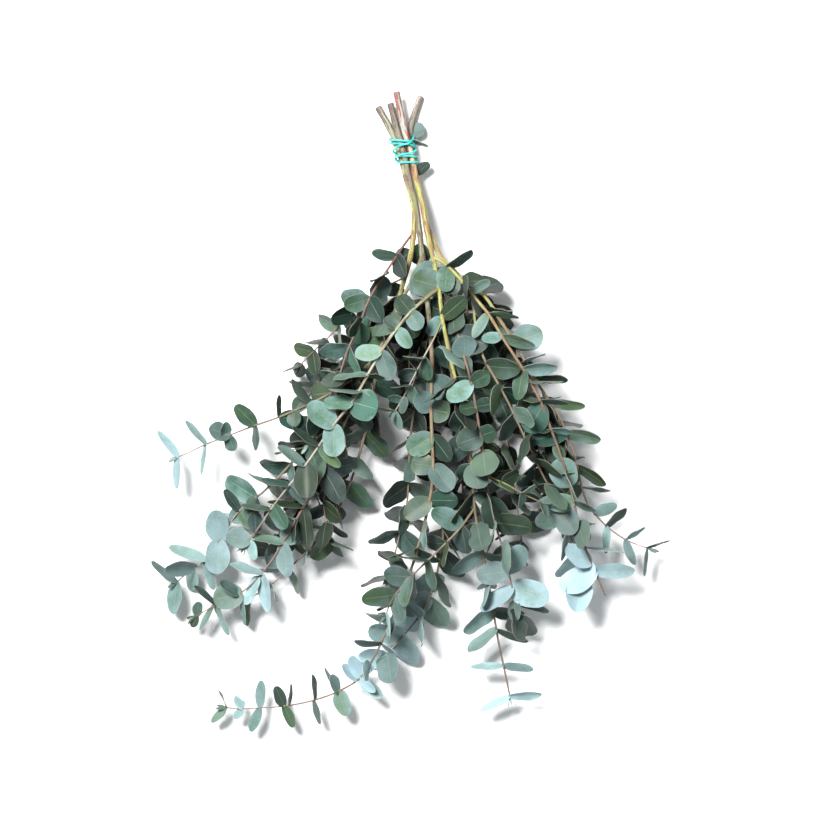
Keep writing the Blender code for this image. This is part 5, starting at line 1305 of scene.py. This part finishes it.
# Radius, spacing, leaf length and leaf width, as in the table of shoots
SHADED_SIZES = (0.0013, 0.0006), (0.021, 0.018), (0.027, 0.024), (0.024, 0.019)
SHADED_FIRST_PAIR = 0.016
SHADED_TRIES = 200
SHADED_BLOOM = -0.10
# Painted shade: the leaves laid here, on the shaded shoots and the bare stems, are made this much darker.
SHADED_LEAF_PAINTED_SHADE = 0.60
ROUTE_MOVES = ((-0.015, 0.015), (-0.010, 0.010), (-0.010, 0.016))  # in X, Y and Z
LOWEST_STEM = 0.006
FORK_REACH = 0.007  # how far from its root a side shoot may touch its own branch
SINGLE_SHARE = 0.4  # how far along its shoot a single leaf is, for its age
# The stem that each one forks from, the level in Y where it does, and its route onward, in millimetres
SHADED_SHOOTS = (
    ("centre_main", 138, ((24, 120, 38), (16, 104, 32), (10, 86, 28), (2, 64, 25), (-5, 44, 23))),
    ("inner_main", 118, ((12, 100, 38), (8, 80, 30), (8, 56, 25), (10, 32, 22), (10, 8, 20))),
    ("centre_main", 128, (
        (36, 108, 40), (42, 88, 32), (40, 60, 28), (36, 30, 24), (31, 0, 22), (28, -30, 20), (26, -62, 18),
    )),
    ("right_main", 128, (
        (58, 104, 40), (58, 78, 32), (62, 50, 27), (67, 20, 24), (72, -10, 21), (75, -40, 18), (78, -72, 16),
    )),
    ("right_main", 96, (
        (88, 72, 45), (96, 45, 38), (106, 15, 34), (116, -15, 30), (124, -45, 27), (130, -75, 24),
        (132, -100, 22),
    )),
    ("right_main", 44, ((119, 20, 50), (118, -8, 44), (116, -34, 38), (112, -60, 33), (110, -84, 30))),
    ("right_main", 0, ((146, -26, 45), (146, -50, 38), (142, -72, 34), (138, -92, 30))),
    ("outer_main", 112, (
        (-14, 88, 32), (-24, 62, 26), (-38, 36, 22), (-52, 12, 20), (-68, -14, 18), (-84, -40, 16),
    )),
    ("outer_main", 10, ((-76, -6, 26), (-94, -28, 22), (-110, -54, 18), (-122, -78, 16), (-132, -100, 15))),
    ("outer_main", 136, ((-12, 122, 34), (-24, 106, 30), (-38, 90, 27), (-53, 75, 25), (-66, 62, 22))),
    ("outer_main", 80, ((-36, 64, 38), (-52, 52, 33), (-68, 40, 29), (-84, 28, 26), (-98, 16, 24))),
    ("long_left", -40, ((-82, -68, 42), (-86, -92, 36), (-84, -114, 31), (-80, -132, 28))),
    ("inner_main", -50, ((24, -82, 40), (20, -108, 34), (14, -134, 30), (6, -158, 27))),
    ("centre_main", -50, ((56, -76, 40), (46, -96, 34), (40, -120, 29), (36, -142, 26))),
    ("centre_main", 80, ((36, 60, 48), (26, 40, 42), (20, 18, 38), (14, -8, 36))),
    ("centre_main", 40, ((54, 20, 50), (62, -6, 43), (68, -34, 36), (72, -62, 32))),
    ("right_main", 140, ((52, 126, 34), (66, 108, 30), (80, 88, 28), (92, 64, 26), (102, 38, 24))),
    ("inner_main", 150, ((18, 140, 36), (24, 124, 32), (30, 106, 28), (34, 86, 24), (36, 66, 20))),
    ("right_main", 20, ((134, 0, 46), (134, -24, 38), (132, -50, 32))),
    ("outer_main", -40, ((-118, -70, 28), (-126, -92, 22), (-138, -112, 18), (-152, -130, 16))),
    ("long_left", 60, ((-40, 38, 48), (-52, 14, 42), (-66, -8, 37), (-80, -32, 33), (-92, -56, 30))),
)
# Single leaves: their stem, then each as in the table of set leaves
SINGLE_LEAVES = {
    "right_main": ((4.4, 237.5, 40, 4, 19, 11, 10), (5, 235, 36, 6, 19, 11, 20)),
    "centre_main": ((27, 137, -20, -8, 25, 21, 0), (26, 140, -50, 0, 26, 22, 10)),
    "inner_main": (
        (9, 178, 250, -20, 30, 21, 20), (7, 192, -84, -25, 32, 20, 10), (11, 165, 262, -25, 30, 22, 0),
    ),
    "outer_main": ((0, 158, 215, -4, 20, 19, 10),),
}


def shaded_route(parent, fork_level, onward, draw):
    """The route from its fork, moved a little at random, and more the farther it is from the fork."""
    fork = parent.fine[np.nonzero(parent.fine[:, 1] <= fork_level / 1000)[0][0]]
    off = [draw.uniform(*limits) for limits in ROUTE_MOVES]
    route = [tuple(fork)]
    for n, point in enumerate(onward, 1):
        x, y, z = (c / 1000 + min(1, n / 3) * o for c, o in zip(point, off))
        route.append((x, y, max(z, LOWEST_STEM)))
    return route


def past_fork(shoot):
    """The shoot's stem without its first stretch, which lies in and beside its own branch."""
    start = int(np.argmax(shoot.along > FORK_REACH))
    frame_there = (Vector((1, 0, 0)), SKY, 0)
    return tube([(Vector(p), shoot.radius[0], frame_there, LEAFY_SIDES) for p in shoot.fine[start::4]])


def lay_shaded_shoot(number, parent, fork_level, onward):
    """The shoot on the first of its moved routes that is clear, or None."""
    for attempt in range(SHADED_TRIES):
        draw = random.Random(5000 * number + attempt)
        route = shaded_route(parent, fork_level, onward, draw)
        roll = draw.uniform(0, math.pi)
        name = f"shaded_{number}"
        shoot = Shoot(name, parent.branch, *SHADED_SIZES, SHADED_FIRST_PAIR, 0.0, roll, route)
        stem = tube(stem_rings(shoot))
        if foliage.is_clear(stem, past_fork(shoot), shoot.branch):
            foliage.add(stem, shoot.branch)
            return shoot
    return None


def lay_shaded_leaf(shoot, place, ways, share, draw, bloom):
    """Lays one shaded leaf, darkened with painted shade, if there is room for it."""
    way = first_clear(ways, shoot.branch)
    if way:
        leaf = fine_leaf((point_on(shoot, place), *way[1:]), share, draw)
        leaf["bloom"] += bloom
        # Painted shade: these leaves are darkened.
        leaf["tone"] *= SHADED_LEAF_PAINTED_SHADE
        shaded_leaves[shoot.branch].append(leaf)


shaded_leaves = {branch: [] for branch in BRANCHES}
shoot_of = {shoot.name: shoot for shoot in SHOOTS}
for name, rows in SINGLE_LEAVES.items():
    for number, leaf in enumerate(rows):
        shoot, draw = shoot_of[name], random.Random(f"{name}{number}")
        place = nearest(shoot, leaf)
        lay_shaded_leaf(shoot, place, set_ways(shoot, leaf, place, draw), SINGLE_SHARE, draw, 0.0)
shaded = [
    lay_shaded_shoot(number, shoot_of[parent], fork_level, onward)
    for number, (parent, fork_level, onward) in enumerate(SHADED_SHOOTS)
]
shaded = [shoot for shoot in shaded if shoot]
for number, shoot in enumerate(shaded):
    for pair, place in enumerate(shoot.pairs):
        for side in (0, 1):
            draw = random.Random(900000 + 1000 * number + 10 * pair + side)
            ways = ruled_ways(shoot, pair, side, draw)
            lay_shaded_leaf(shoot, place, ways, place / shoot.length, draw, SHADED_BLOOM)
for branch in BRANCHES:
    make_stems("shaded_stems", branch, shaded)
    make_leaves("shaded_leaves", branch, shaded_leaves[branch])

# SETTING
# A plain pale table, two large soft lamps and a faint sky, and a camera straight above the bunch.
# None of it is part of the bunch.

TABLE_REACH = 3.0
PAPER = (0.93, 0.93, 0.93), (0.96, 0.96, 0.96)
LAMPS = (("key_lamp", (-0.95, 1.05, 2.5), 0.85, 184.0), ("fill_lamp", (1.7, -0.8, 2.0), 1.8, 8.0))
SKY_COLOUR, SKY_STRENGTH = (0.93, 0.96, 1.0), 0.34
CAMERA_HEIGHT = 3.2
VIEW_WIDTH = 0.816  # what the picture's width shows at the leaves' level
LEAF_LEVEL = 0.030
CAMERA_X, CAMERA_Y = -0.0005, 0.0012
SENSOR_WIDTH = 36.0


corners = [(x * TABLE_REACH, y * TABLE_REACH, 0) for x, y in ((-1, -1), (1, -1), (1, 1), (-1, 1))]
mesh = bpy.data.meshes.new("table")
mesh.from_pydata(corners, [], [(0, 1, 2, 3)])
paper, paper_tree, paper_place = new_material("pale_table")
paper_shader = paper_tree.nodes["Principled BSDF"]
paper_tree.links.new(mixed(noise(paper_place, 3.0), *PAPER).socket, paper_shader.inputs["Base Color"])
paper_shader.inputs["Roughness"].default_value = 0.9
mesh.materials.append(paper)
placed("table", mesh)

for title, place, size, power in LAMPS:
    lamp = bpy.data.lights.new(title, "AREA")
    lamp.shape = "SQUARE"
    lamp.size = size
    lamp.energy = power
    holder = placed(title, lamp)
    holder.location = place
    holder.rotation_euler = (-Vector(place)).to_track_quat("-Z", "Y").to_euler()

world = bpy.data.worlds.new("soft_sky")
world.use_nodes = True
sky = world.node_tree.nodes["Background"]
sky.inputs["Color"].default_value = (*SKY_COLOUR, 1)
sky.inputs["Strength"].default_value = SKY_STRENGTH
bpy.context.scene.world = world
bpy.context.scene.view_settings.view_transform = "Standard"

camera_data = bpy.data.cameras.new("above")
camera_data.sensor_width = SENSOR_WIDTH
camera_data.lens = SENSOR_WIDTH * (CAMERA_HEIGHT - LEAF_LEVEL) / VIEW_WIDTH
camera_data.clip_end = 20.0
camera = placed("above", camera_data)
camera.location = (CAMERA_X, CAMERA_Y, CAMERA_HEIGHT)
bpy.context.scene.camera = camera
